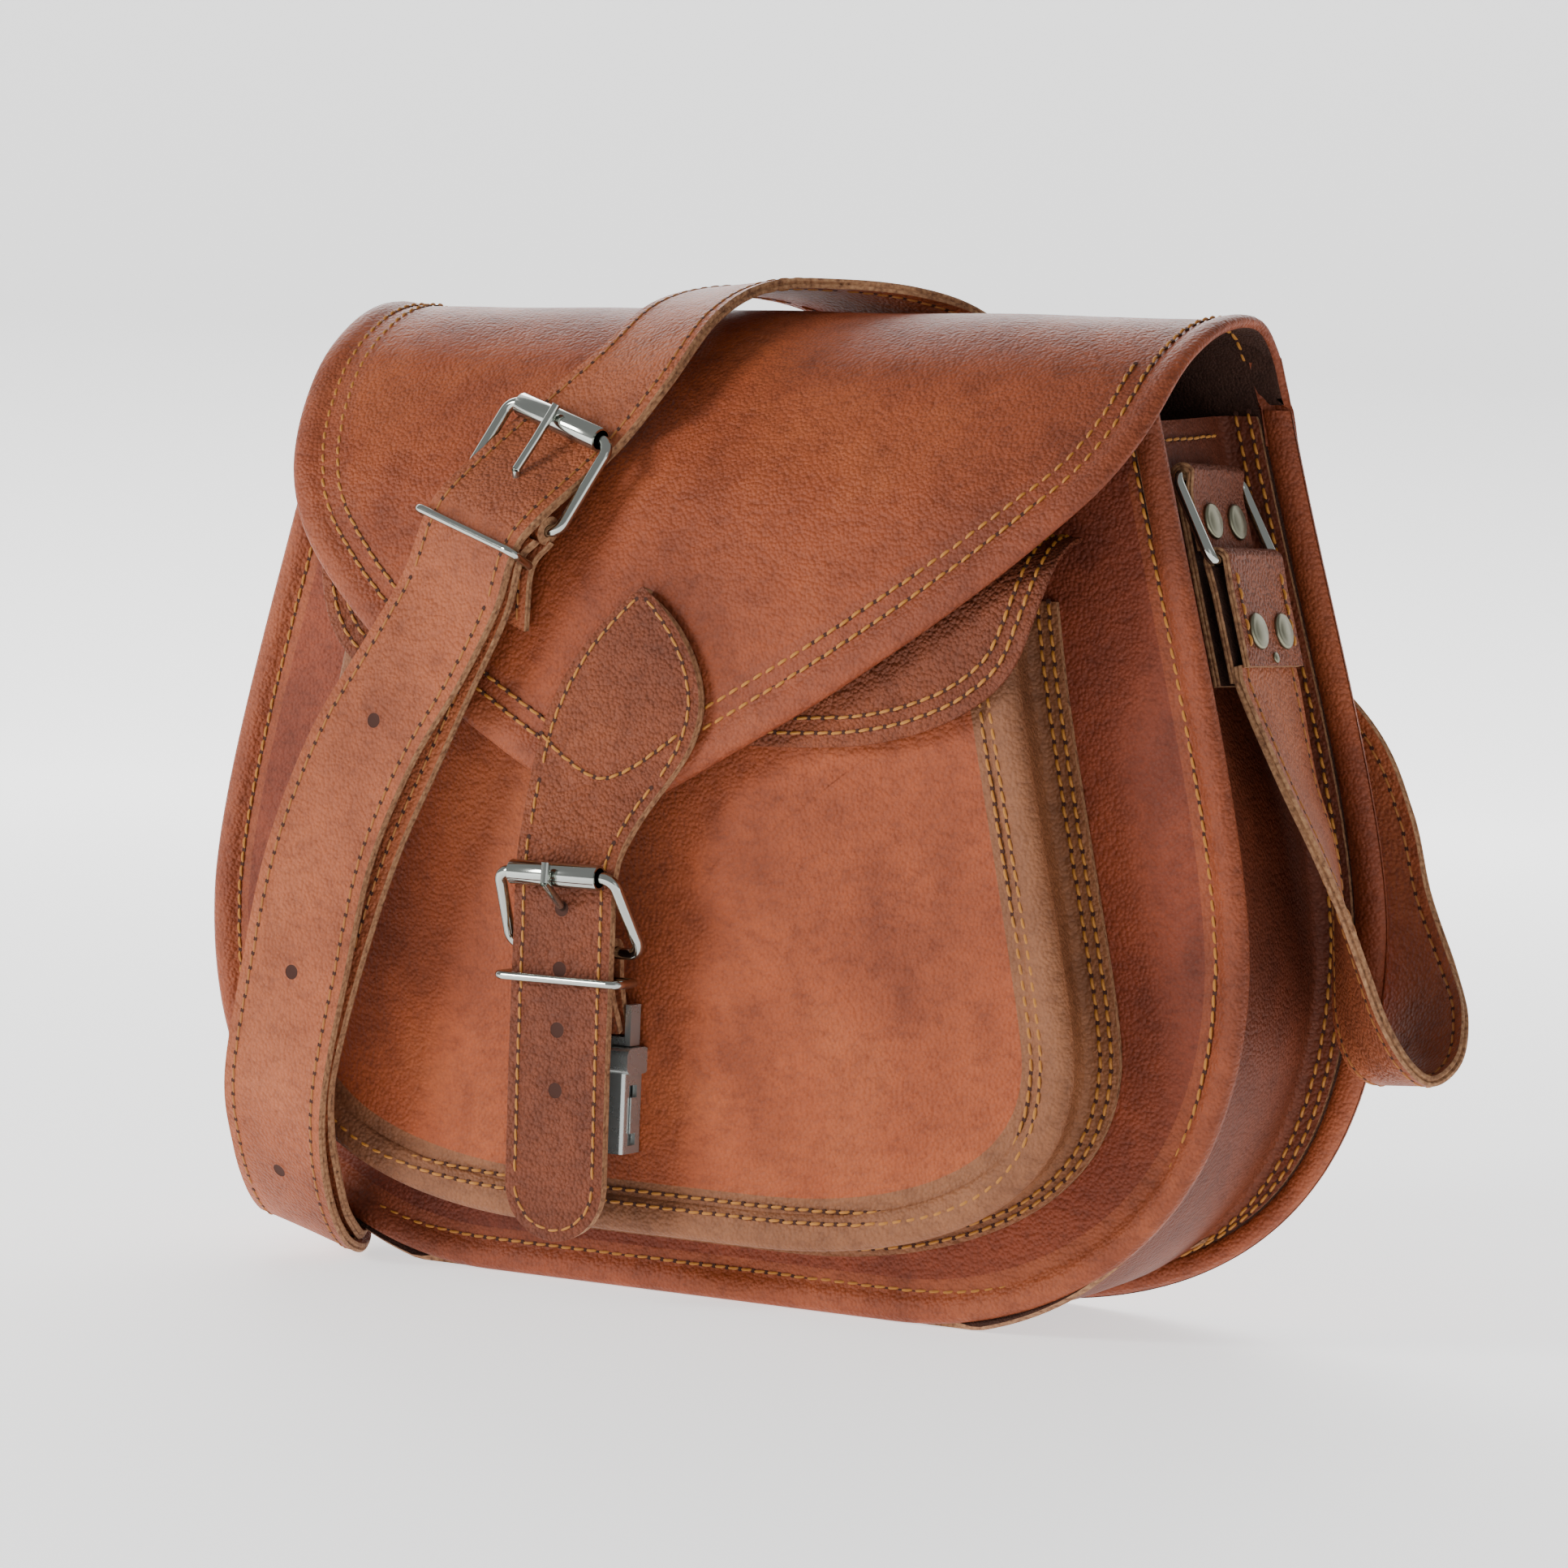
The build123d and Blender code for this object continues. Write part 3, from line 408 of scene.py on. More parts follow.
def skin(piece, outline, edge, centre, place, face, rim, under, thick, steps=14, pillow=0.0,
         amp=0.0, seed=1.0):
    """Leather panel: rings from its outline to its centre, above, and again below it.

    The edge lists (distance from the outline, height), place puts flat rings in space, and amp
    and pillow are the heights of the slow waves and of the swelling, in millimetres.
    """
    inner = inward(outline)
    centre = np.array(centre, float)
    rings, mats = [], []
    for d, h in edge:
        ring = outline + inner * d
        height = np.full(len(ring), h) + wave(ring, amp, WAVE, seed) * min(d / 10, 1)
        rings.append(place(ring, height))
        mats.append(rim if d < edge[-1][0] - 0.01 else face)
    last = outline + inner * edge[-1][0]
    for k in range(1, steps + 1):
        share = k / steps
        ring = last + (centre - last) * (share * NEAR_ALL)
        height = edge[-1][1] + pillow * math.sin(math.pi / 2 * share) + wave(ring, amp, WAVE, seed)
        rings.append(place(ring, height))
        mats.append(face)
    bottom = []
    for d, h in ((0.3, -thick * 0.6), (1.2, -thick)):
        bottom.append(place(outline + inner * d, np.full(len(outline), h)))
    for k in range(0, steps + 1, 2):
        ring = last + (centre - last) * (k / steps * NEAR_ALL)
        height = (np.full(len(ring), -thick) + pillow * math.sin(math.pi / 2 * k / steps)
                  + wave(ring, amp, WAVE, seed))
        bottom.append(place(ring, height))
    piece.loops(bottom[::-1] + rings,
                [under] * (len(bottom) - 2) + [rim] * 2 + mats[:len(rings) - 1])


def grid_normals(p):
    """Unit normals of a grid of points (rows, columns, 3)."""
    du = np.gradient(p, axis=0)
    dv = np.gradient(p, axis=1)
    n = np.cross(du, dv)
    size = np.linalg.norm(n, axis=2)[:, :, None]
    return n / np.maximum(size, 1e-9)


def shell(piece, p, thick, face, under, edge, centred=False, rim=0.0, core=None):
    """Closed sheet from a grid of points (rows, columns, 3), thick along minus its normals.

    The normals are turned to point away from core, when that is given.
    """
    n = grid_normals(p)
    if core is not None and np.mean(np.sum(n * (p - np.array(core)), axis=2)) < 0:
        p = p[:, ::-1]
        n = grid_normals(p)
    out = p + n * (thick / 2) if centred else p
    low = out - n * thick
    rows, cols = p.shape[:2]
    bulges = ((0.12, rim * 0.7), (0.32, rim), (0.5, -rim * 0.8), (0.68, rim), (0.88, rim * 0.7))
    ring = []
    for i in range(rows):
        across = p[i, -1] - p[i, 0]
        across = across / max(np.linalg.norm(across), 1e-9)
        near = [out[i, 0] * (1 - f) + low[i, 0] * f - across * b for f, b in bulges]
        far = [out[i, -1] * (1 - f) + low[i, -1] * f + across * b for f, b in bulges]
        ring.append(np.concatenate([out[i], far, low[i][::-1], near[::-1]]))
    m = len(ring[0])
    sides = len(bulges)
    start = piece.count
    piece.verts.append(np.concatenate(ring))
    piece.count += m * rows
    cut = [edge] * (sides + 1)
    marks = [piece.slot(x) for x in [face] * (cols - 1) + cut + [under] * (cols - 1) + cut]
    for k in range(rows - 1):
        a, b = start + k * m, start + (k + 1) * m
        for i in range(m):
            j = (i + 1) % m
            piece.faces.append((a + i, a + j, b + j, b + i))
            piece.marks.append(marks[i])
    for base in (start, start + m * (rows - 1)):
        under_first = base + 2 * cols + sides - 1
        ends = [(base + i, base + i + 1, under_first - i - 1, under_first - i)
                for i in range(cols - 1)]
        ends.append(tuple(range(base + cols - 1, base + cols + sides + 1)))
        ends.append((base,) + tuple(range(base + m - 1, under_first - 1, -1)))
        piece.faces += ends
        piece.marks += [piece.slot(edge)] * len(ends)


STITCH_SHAPE = ((0.10, 0.5, -0.25), (0.26, 0.95, 0.7), (0.5, 1.0, 1.0), (0.74, 0.95, 0.7),
                (0.90, 0.5, -0.25))    # share of the pitch, of the radius and of the lift
HOLE_LENGTH, HOLE_WIDTH, HOLE_DEPTH = 0.75, 0.6, 0.5


def stitch(piece, path, normals, pitch=3.8, radius=0.4, lift=0.34, thread=None):
    """Row of waxed thread stitches on a line, with a needle hole between each two, its inside painted
    dark as shade.
    """
    path, normals = np.asarray(path, float), np.asarray(normals, float)
    length = np.concatenate([[0], np.cumsum(np.linalg.norm(np.diff(path, axis=0), axis=1))])

    def at(s):
        p = np.array([np.interp(s, length, path[:, k]) for k in range(3)])
        n = np.array([np.interp(s, length, normals[:, k]) for k in range(3)])
        return p, n / max(np.linalg.norm(n), 1e-9)

    for i in range(int(length[-1] / pitch)):
        s0 = i * pitch
        jitter = 0.25 * noise.noise(Vector((s0, path[0][0], 3.1)))
        p, n = at(s0)
        q, _ = at(s0 + 0.5)
        t = q - p
        t /= max(np.linalg.norm(t), 1e-9)
        w = np.cross(n, t)
        hole = circle(p + n * 0.1, t * HOLE_LENGTH, w * HOLE_WIDTH, 1.0, 6)
        piece.loops([[x - n * HOLE_DEPTH for x in hole], hole], HOLE_SHADE)
        rings = []
        for share, r, h in STITCH_SHAPE:
            c, n = at(s0 + pitch * share)
            c = c + n * (lift * h) + w * (jitter + 0.28 * (share - 0.5))
            rings.append(circle(c, n, w, radius * r, 6))
        piece.loops(rings, thread or THREAD)


def at_depth(path, y):
    """3-D points over a 2-D path at depth y."""
    return np.stack([path[:, 0], np.full(len(path), y), path[:, 1]], 1)


def row(piece, path, y, toward=-1.0):
    """Stitches over a 2-D path at depth y, seen from the front, or from behind if toward is 1."""
    stitch(piece, at_depth(path, y), np.tile([0.0, toward, 0.0], (len(path), 1)))


# ---- body of the bag ---------------------------------------------------------------------------
FRONT_Y, POCKET_Y, REAR_Y = -37.3, -58.3, 23.2      # outer faces of the three flat panels
MIDDLE = (0, 110)
ROLL_EDGE = [(0.0, -1.4), (0.05, -0.3), (0.5, 0.8), (1.5, 1.6), (3.2, 2.0), (4.9, 1.7),
             (6.3, 0.9), (7.2, 0.1), (8.0, -0.15), (9.0, 0.0), (11.0, 0.0)]
POCKET_EDGE = [(0.0, -1.6), (0.05, -0.3), (0.5, 0.7), (1.6, 1.5), (3.4, 1.9), (5.4, 1.8),
               (7.4, 1.3), (8.6, 1.0), (9.1, 0.1), (10.4, 0.0), (13.0, 0.1)]
BACK_EDGE = [(0.0, -1.9), (0.1, -0.9), (0.6, 0.2), (1.8, 0.9), (4.0, 1.2), (6.2, 0.8), (7.6, 0.1),
             (8.6, -0.1), (10.0, 0.0), (12.0, 0.0)]


def flat(y0, toward=-1.0):
    """Place for a panel at y0 that faces the front, or the rear if toward is 1."""
    def place(ring, height):
        return np.stack([ring[:, 0], y0 + toward * height, ring[:, 1]], 1)
    return place


def closed(path):
    """Outline of a panel: its path and a straight top edge."""
    top = np.stack([np.linspace(path[-1][0], path[0][0], 40), np.full(40, path[0][1])], 1)[1:-1]
    return resample(np.concatenate([path, top]), step=3.0, closed=True)


piece = Piece("front_panel_leather")
skin(piece, closed(front_path()), ROLL_EDGE, MIDDLE, flat(FRONT_Y), SHADED_FRONT, ROLLED, SHADED_FLESH_SIDE, 3.0,
     pillow=0.6, amp=0.8, seed=2.0)
row(piece, front_path(8.2), FRONT_Y + 0.1)
piece.build("bag", ("front_panel", "front_edge_roll"), "tan_leather")

piece = Piece("pocket_panel_leather")
skin(piece, closed(pocket_path()), POCKET_EDGE, (0, 95), flat(POCKET_Y), TAN, DULL, SHADED_FLESH_SIDE, 2.6,
     pillow=1.2, amp=1.2, seed=5.0)
row(piece, pocket_path(7.4), POCKET_Y - 1.4)
row(piece, pocket_path(10.6), POCKET_Y - 0.2)
piece.build("bag", ("pocket_panel", "pocket_edge_roll"), "tan_leather")

piece = Piece("back_panel_leather")
skin(piece, closed(back_path()), BACK_EDGE, MIDDLE, flat(REAR_Y, 1.0), TAN, ROLLED, SHADED_FLESH_SIDE, 2.4,
     pillow=0.4, amp=0.7, seed=9.0)
inner_roll = ((0.3, 20.9), (1.6, 19.6), (4.0, 19.2), (6.4, 19.6), (8.3, 20.9))
columns = [at_depth(back_path(inset), y) for inset, y in inner_roll]
columns += [at_depth(back_path(inset), 21.6) for inset, y in inner_roll[::-1]]
piece.loops(list(np.stack(columns, 1)), ROLLED)
for inset in (9.3, 12.6):
    row(piece, back_path(inset), REAR_Y, toward=1.0)
piece.build("bag", ("back_panel", "back_edge_roll"), "tan_leather")

GUSSET_TOP, GUSSET_RISE = 222.5, 0.073              # its height at the front, and how it climbs
GUSSET_FRONT, SWELL_START, SWELL_LENGTH = -34, -33, 52
LOWEST = 0.05
piece = Piece("main_gusset_leather")
g = gusset_path()
b = back_path(8.6)
outward = -facing(g, MIDDLE)
columns = [at_depth(g + outward * off, y) for y, off in ((-35.6, 2.6), (-34.6, 0.9), (-33.4, 0.1))]
for y in np.linspace(-31, 15.5, 15):
    swell = 1.6 * math.sin(math.pi * (y - SWELL_START) / SWELL_LENGTH)
    ripple = np.array([0.9 * noise.noise(Vector((i * 0.11, y * 0.045, 4.4)))
                       for i in range(len(g))])
    lift = (swell + ripple) * np.clip((g[:, 1] - 1.0) / 12.0, 0, 1)
    columns.append(at_depth(g + outward * lift[:, None], y))
for share, y in ((0.04, 17.4), (0.14, 18.6), (0.3, 19.0), (0.5, 19.2), (0.75, 19.3), (1.0, 19.4)):
    flange = g + (b - g) * share
    flange[:, 1] = np.maximum(flange[:, 1], 0.4)
    columns.append(at_depth(flange, y))
grid = np.stack(columns, 1)
slope = GUSSET_TOP + (grid[:, :, 1] - GUSSET_FRONT) * GUSSET_RISE
grid[:, :, 2] = np.maximum(np.minimum(grid[:, :, 2], slope), LOWEST)
shell(piece, grid, 1.9, SHADED_GUSSET, SHADED_FLESH_SIDE, RAW, core=(0, 60, 110))
for share in (0.45, 0.8):
    flange = g + (b - g) * share
    for half in (flange[:, 0] > 0, flange[:, 0] < 0):
        row(piece, flange[(flange[:, 1] > 14.0) & half], 19.2)
for side in (1, -1):
    ys = np.linspace(-31, 13, 20)
    line = np.stack([np.full(20, side * 112.9), ys, 218.0 + (ys - GUSSET_FRONT) * 0.07], 1)
    line[:, 0] += side * 1.6 * np.sin(np.pi * (ys - SWELL_START) / SWELL_LENGTH)
    stitch(piece, line, np.tile([side * 0.97, 0, 0.24], (20, 1)))
piece.build("bag", ("main_gusset",), "tan_leather")

piece = Piece("pocket_gusset_leather")
g = pocket_path(5.6)
b = pocket_path(-3.4)
from_middle = (g - [0, 95]) / np.linalg.norm(g - [0, 95], axis=1)[:, None]
columns = []
for y in np.linspace(-57.0, -41.5, 9):
    swell = 0.9 * math.sin(math.pi * (y + 57) / 17)
    ripple = np.array([0.6 * noise.noise(Vector((i * 0.16, y * 0.08, 8.8))) for i in range(len(g))])
    columns.append(at_depth(g + from_middle * (swell + ripple)[:, None], y))
for share, y in ((0.12, -40.2), (0.3, -39.6), (0.6, -39.4), (1.0, -39.3)):
    columns.append(at_depth(g + (b - g) * share, y))
shell(piece, np.stack(columns, 1), 1.6, DULL, SHADED_FLESH_SIDE, RAW, core=(0, 0, 95))
for inset in (-1.4, 1.6):
    row(piece, pocket_path(inset), -39.5)
piece.build("bag", ("pocket_gusset",), "dull_leather")


# ---- flaps -------------------------------------------------------------------------------------
class Bent:
    """Surface bent along a (y, z) profile and straight along X; s is the length along it.

    Its profile starts at the rear and ends going down the front, so its normals face outward.
    """

    def __init__(self, points):
        self.p = resample(spline(points), step=1.0)
        self.s = np.arange(len(self.p)) * 1.0
        self.s *= np.linalg.norm(np.diff(self.p, axis=0), axis=1).mean()
        step = np.gradient(self.p, axis=0)
        step /= np.linalg.norm(step, axis=1)[:, None]
        self.n = np.stack([step[:, 1], -step[:, 0]], 1)
        self.crest = int(np.argmax(self.p[:, 1]))

    def s_at(self, z):
        """Length along the profile to a height on its front."""
        front = slice(self.crest, None)
        return np.interp(-np.asarray(z, float), -self.p[front, 1], self.s[front])

    def place(self, ring, height):
        """Points (x, s) in space, at a height over the surface."""
        s = ring[:, 1]
        y = np.interp(s, self.s, self.p[:, 0]) + np.interp(s, self.s, self.n[:, 0]) * height
        z = np.interp(s, self.s, self.p[:, 1]) + np.interp(s, self.s, self.n[:, 1]) * height
        return np.stack([ring[:, 0], y, z], 1)

    def normal(self, ring):
        s = ring[:, 1]
        return np.stack([np.zeros(len(s)), np.interp(s, self.s, self.n[:, 0]),
                         np.interp(s, self.s, self.n[:, 1])], 1)

    def stitch(self, piece, line, height=0.0, **settings):
        """Stitches along a line (x, s), at a height over the surface."""
        stitch(piece, self.place(line, np.full(len(line), height)), self.normal(line), **settings)


FLAP = Bent([(23.2, 228.5), (22.9, 233.0), (18.5, 242.5), (7.0, 249.5), (-12.0, 247.0),
             (-31.0, 236.5), (-45.0, 222.0), (-58.2, 204.0), (-64.6, 186.0), (-67.6, 170.0),
             (-68.7, 150.0), (-69.2, 112.0)])
right_edge = [(124.0, 241.0), (122.3, 224.0), (116.5, 209.0), (106.0, 196.5), (84.7, 178.0),
              (55.7, 157.5), (25.2, 139.0), (-9.0, 119.5)]
left_edge = [(-9.0, 119.5), (-31.4, 130.6), (-52.6, 142.8), (-68.0, 152.8), (-85.3, 166.0),
             (-101.0, 181.5), (-109.5, 193.0), (-116.5, 208.0), (-121.5, 224.0), (-124.0, 241.0)]


def on_front(points):
    """Points (x, height) on the front of the flap, as (x, s)."""
    return [(x, float(FLAP.s_at(z))) for x, z in points]


right_part = spline([(128.0, 0.0), (126.5, 12.0), (126.0, 30.0)] + on_front(right_edge))
left_part = spline(on_front(left_edge) + [(-126.0, 30.0), (-126.5, 12.0), (-128.0, 0.0)])
hem = np.stack([np.linspace(-128, 128, 60), np.zeros(60)], 1)[1:-1]
FLAP_OUTLINE = resample(np.concatenate([right_part, left_part[1:], hem]), step=3.0, closed=True)
FLAP_EDGE = [(0.0, -1.0), (0.05, -0.3), (0.5, 0.4), (1.5, 0.9), (3.5, 1.1), (5.5, 0.9), (7.2, 0.3),
             (8.2, 0.0), (9.2, -0.1), (10.4, 0.0), (13.6, -0.05), (16.0, 0.0)]
piece = Piece("flap_leather")
skin(piece, FLAP_OUTLINE, FLAP_EDGE, (0, 95), FLAP.place, FLAP_TAN, ROLLED, SHADED_FLESH_SIDE, 2.2, steps=22,
     amp=0.9, seed=12.0)
edge_line = resample(np.concatenate([right_part, left_part[1:]]), step=2.0)
inside = facing(edge_line, (0, 95))
for inset in (8.8, 13.2):
    seam = edge_line + inside * inset
    seam = seam[(seam[:, 1] > 3.0)]
    if inset > 10:
        seam = seam[(seam[:, 1] > FLAP.s_at(238.0)) | (seam[:, 0] < 0)]
    FLAP.stitch(piece, seam)
    stitch(piece, FLAP.place(seam, np.full(len(seam), -2.3)), -FLAP.normal(seam))
piece.build("flap_body", ("flap", "flap_edge_roll"), "tan_leather")

# Rows across the fold: up the back panel (height, half width), then round the bend (s, half width).
FOLD_BACK = ((219.0, 130.9), (222.0, 130.4), (225.0, 129.8), (228.2, 129.1))
FOLD_BEND = ((1.5, 128.2), (4.0, 127.7), (7.0, 127.2), (10.0, 126.9), (13.0, 126.7))
ROLL_RISE = ((0.0, -0.9), (0.3, 0.1), (1.0, 0.9), (2.4, 1.4), (4.2, 1.55), (6.0, 1.2),
             (7.6, 0.5), (8.6, 0.25))


def fold_rows(columns):
    """Rows of points across the fold; columns are (side, distance from the edge, height)."""
    sides, insets, heights = np.array(columns).T
    rows = [np.stack([sides * (half - insets), REAR_Y + heights, np.full(len(sides), z)], 1)
            for z, half in FOLD_BACK]
    rows += [FLAP.place(np.stack([sides * (half - insets), np.full(len(sides), v)], 1), heights)
             for v, half in FOLD_BEND]
    return np.stack(rows, 0)


piece = Piece("flap_fold_leather")
inner_fold = [(1, 8.4 + d, 0.18) for d in np.linspace(0, 118, 22)]
inner_fold += [(-1, 8.4 + d, 0.18) for d in np.linspace(117, 0, 22)]
FOLD_CORE = (0, -10, 200)
shell(piece, fold_rows(inner_fold), 2.6, FLAP_TAN, SHADED_FLESH_SIDE, FLAP_TAN, core=FOLD_CORE)
for side in (1, -1):
    shell(piece, fold_rows([(side, d, h) for d, h in ROLL_RISE]), 3.4, ROLLED, ROLLED, ROLLED,
          core=FOLD_CORE)
fold = piece.build()
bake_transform(fold)

POCKET_FLAP = Bent([(-38.6, 195.0), (-47.0, 193.6), (-55.5, 189.0), (-60.5, 181.5),
                    (-62.6, 172.0), (-63.0, 158.0), (-63.0, 136.0)])
half = [(103.0, 1.0)] + [(x, float(POCKET_FLAP.s_at(z))) for x, z in (
    (104.0, 188.0), (101.5, 174.0), (95.5, 160.5), (82.0, 150.2), (62.0, 143.4), (38.0, 141.0),
    (0.0, 140.8))]
curve = spline(half)
outline = np.concatenate([curve, (curve * [-1, 1])[::-1][1:]])
top = np.stack([np.linspace(-103, 103, 50), np.full(50, 1.0)], 1)[1:-1]
piece = Piece("pocket_flap_leather")
skin(piece, resample(np.concatenate([outline, top]), step=3.0, closed=True),
     [(0.0, -0.9), (0.1, -0.2), (0.7, 0.0), (2.5, 0.0), (6.0, 0.0), (10.0, 0.0)],
     (0, 32), POCKET_FLAP.place, DARK, DARK, SHADED_FLESH_SIDE, 1.7, steps=10, amp=0.35, seed=17.0)
edge_line = resample(outline, step=2.0)
inside = facing(edge_line, (0, 25))
for inset in (3.6, 7.2):
    POCKET_FLAP.stitch(piece, edge_line + inside * inset)
for side in (1, -1):
    bar = np.array([(side * x, 3.2) for x in np.linspace(84, 102.5, 14)])
    POCKET_FLAP.stitch(piece, bar, pitch=3.2)
piece.build("pocket_flap_body", ("pocket_flap",), "dark_leather")

# ---- closure strap -----------------------------------------------------------------------------
CLOSURE_X, CLOSURE_HALF = -16.5, 14.0
TIP_Z = 30.0            # centre of the strap's round end, whose radius is half its width
EDGE_RIGHT, EDGE_LEFT = CLOSURE_X + CLOSURE_HALF, CLOSURE_X - CLOSURE_HALF
STRAIGHT_RIGHT, STRAIGHT_LEFT = 104.0, 118.0        # below these heights the edges are straight
HOLES = (98.5, 83.5, 68.5, 53.5)
FLAT_STITCH = dict(radius=0.34, lift=0.16)
outline_right = np.concatenate([
    bezier((-1.0, 178.5), (10.0, 171.0), (21.0, 156.0), (16.0, 143.0), 24)[:-1],
    bezier((16.0, 143.0), (13.0, 131.0), (-2.0, 124.0), (EDGE_RIGHT, STRAIGHT_RIGHT), 24)])
outline_left = bezier((EDGE_LEFT, STRAIGHT_LEFT), (EDGE_LEFT, 146.0), (-19.0, 165.0),
                      (-1.0, 178.5), 40)


def span_at(z):
    """Left and right edge of the closure strap at a height."""
    if z < TIP_Z:
        reach = math.sqrt(max(CLOSURE_HALF ** 2 - (TIP_Z - z) ** 2, 0.0))
        return CLOSURE_X - reach, CLOSURE_X + reach
    left, right = EDGE_LEFT, EDGE_RIGHT
    if z > STRAIGHT_RIGHT:
        right = float(np.interp(-z, -outline_right[:, 1], outline_right[:, 0]))
    if z >= STRAIGHT_LEFT:
        left = float(np.interp(z, outline_left[:, 1], outline_left[:, 0]))
    return left, right


CLOSURE = Bent([(-64.9, 196.0), (-70.3, 178.5), (-71.6, 165.0), (-72.3, 150.0), (-72.7, 135.0),
                (-73.2, 128.0), (-74.6, 120.0), (-76.5, 112.0), (-77.0, 102.0), (-77.0, 90.0),
                (-77.0, 60.0), (-76.6, 40.0), (-76.2, 8.0)])


def on_closure(points):
    """Points (x, height) on the closure strap, as (x, s)."""
    return np.array([(x, float(CLOSURE.s_at(z))) for x, z in points])


def closure_piece(name, z_top, z_low, thick):
    """Part of the closure strap between two heights; its cut edges show at both sides."""
    zs = list(np.linspace(min(z_top, 176.0), max(z_low, TIP_Z), int((z_top - z_low) / 2) + 3))
    if z_top > 178.0:
        zs = [178.42, 178.3, 178.0, 177.5, 176.8] + zs
    if z_low < 17.0:
        zs += [TIP_Z - CLOSURE_HALF * math.sin(a)
               for a in np.linspace(0.12, math.pi / 2 - 0.06, 14)]
    bulge = 0.18 * (1 - np.abs(np.linspace(-1, 1, 11)) ** 3)
    rows = [CLOSURE.place(on_closure([(x, z) for x in np.linspace(*span_at(z), 11)]), bulge)
            for z in zs]
    piece = Piece(name)
    shell(piece, np.stack(rows, 0), thick, DARK, SHADED_FLESH_SIDE, RAW, rim=0.2, core=(0, 60, 100))
    return piece


def closure_rows(piece, z_top, z_low, inset=2.8):
    """Stitches beside both edges of the closure strap."""
    zs = np.linspace(z_top, z_low, max(int((z_top - z_low) / 1.2), 4))
    spans = [(z, *span_at(z)) for z in zs]
    spans = [(z, left, right) for z, left, right in spans if right - left >= 2 * inset]
    for line in ([(left + inset, z) for z, left, right in spans],
                 [(right - inset, z) for z, left, right in spans]):
        CLOSURE.stitch(piece, on_closure(line), 0.08, **FLAT_STITCH)


leaf = closure_piece("closure_leaf_leather", 178.42, 129.5, 3.0)
closure_rows(leaf, 176.5, 130.0)
vee = np.array([(-27.2, 141.0), (-20.0, 135.5), (-9.5, 130.9), (1.0, 135.0), (13.0, 143.5)])
CLOSURE.stitch(leaf, on_closure(resample(spline(vee), step=1.0)), 0.16)
leaf.build("flap_body", ("strap_leaf",), "dark_leather")

neck = closure_piece("closure_neck_leather", 129.5, 115.5, 2.8)
closure_rows(neck, 129.4, 115.6)
neck = neck.build()
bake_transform(neck)

hang = closure_piece("closure_strap_leather", 115.5, 16.0, 2.6)
closure_rows(hang, 115.4, 31.0)
arc = [(CLOSURE_X + 11.2 * math.cos(a), TIP_Z + 11.2 * math.sin(a))
       for a in np.linspace(0, -math.pi, 40)]
CLOSURE.stitch(hang, on_closure(arc), 0.05, **FLAT_STITCH)
x_way, s_way = np.array((1.0, 0.0)), np.array((0.0, 1.0))
for z in HOLES:
    hole = (CLOSURE_X, float(CLOSURE.s_at(z)))
    # The punched hole is a closed disk painted dark as shade, not a cut through the strap.
    hang.loops([CLOSURE.place(np.array(circle(hole, x_way, s_way, reach, 20)), np.full(20, high))
                for reach, high in ((2.3, -1.0), (2.3, 0.22), (1.95, 0.3), (1.8, 0.2),
                                    (1.7, 0.19))], [DARK, DARK, HOLE_SHADE, HOLE_SHADE])
hang.build("closure_body", ("closure_strap",), "dark_leather")

# ---- shoulder strap ----------------------------------------------------------------------------
# Roller, heel bar and keeper of its buckle, and the buckle's three directions, as in the CAD part.
# SLANT is about the way across the strap.
ROLLER = np.array((-32.9, -59.8, 218.2))
HEEL = np.array((-42.0, -69.0, 195.5))
KEEPER = np.array((-47.4, -71.0, 187.0))
SLANT = np.array((0.885, -0.25, -0.39))
RISE = (ROLLER - HEEL) / np.linalg.norm(ROLLER - HEEL)
ACROSS = SLANT - RISE * np.dot(SLANT, RISE)
ACROSS /= np.linalg.norm(ACROSS)
OUT = np.cross(ACROSS, RISE)
STRAP_HALF = 16.0


def level(point, outward):
    """Ends of a line straight across the strap, at a distance out from a point of the buckle."""
    centre = point + OUT * outward
    return tuple(centre + ACROSS * STRAP_HALF), tuple(centre - ACROSS * STRAP_HALF)
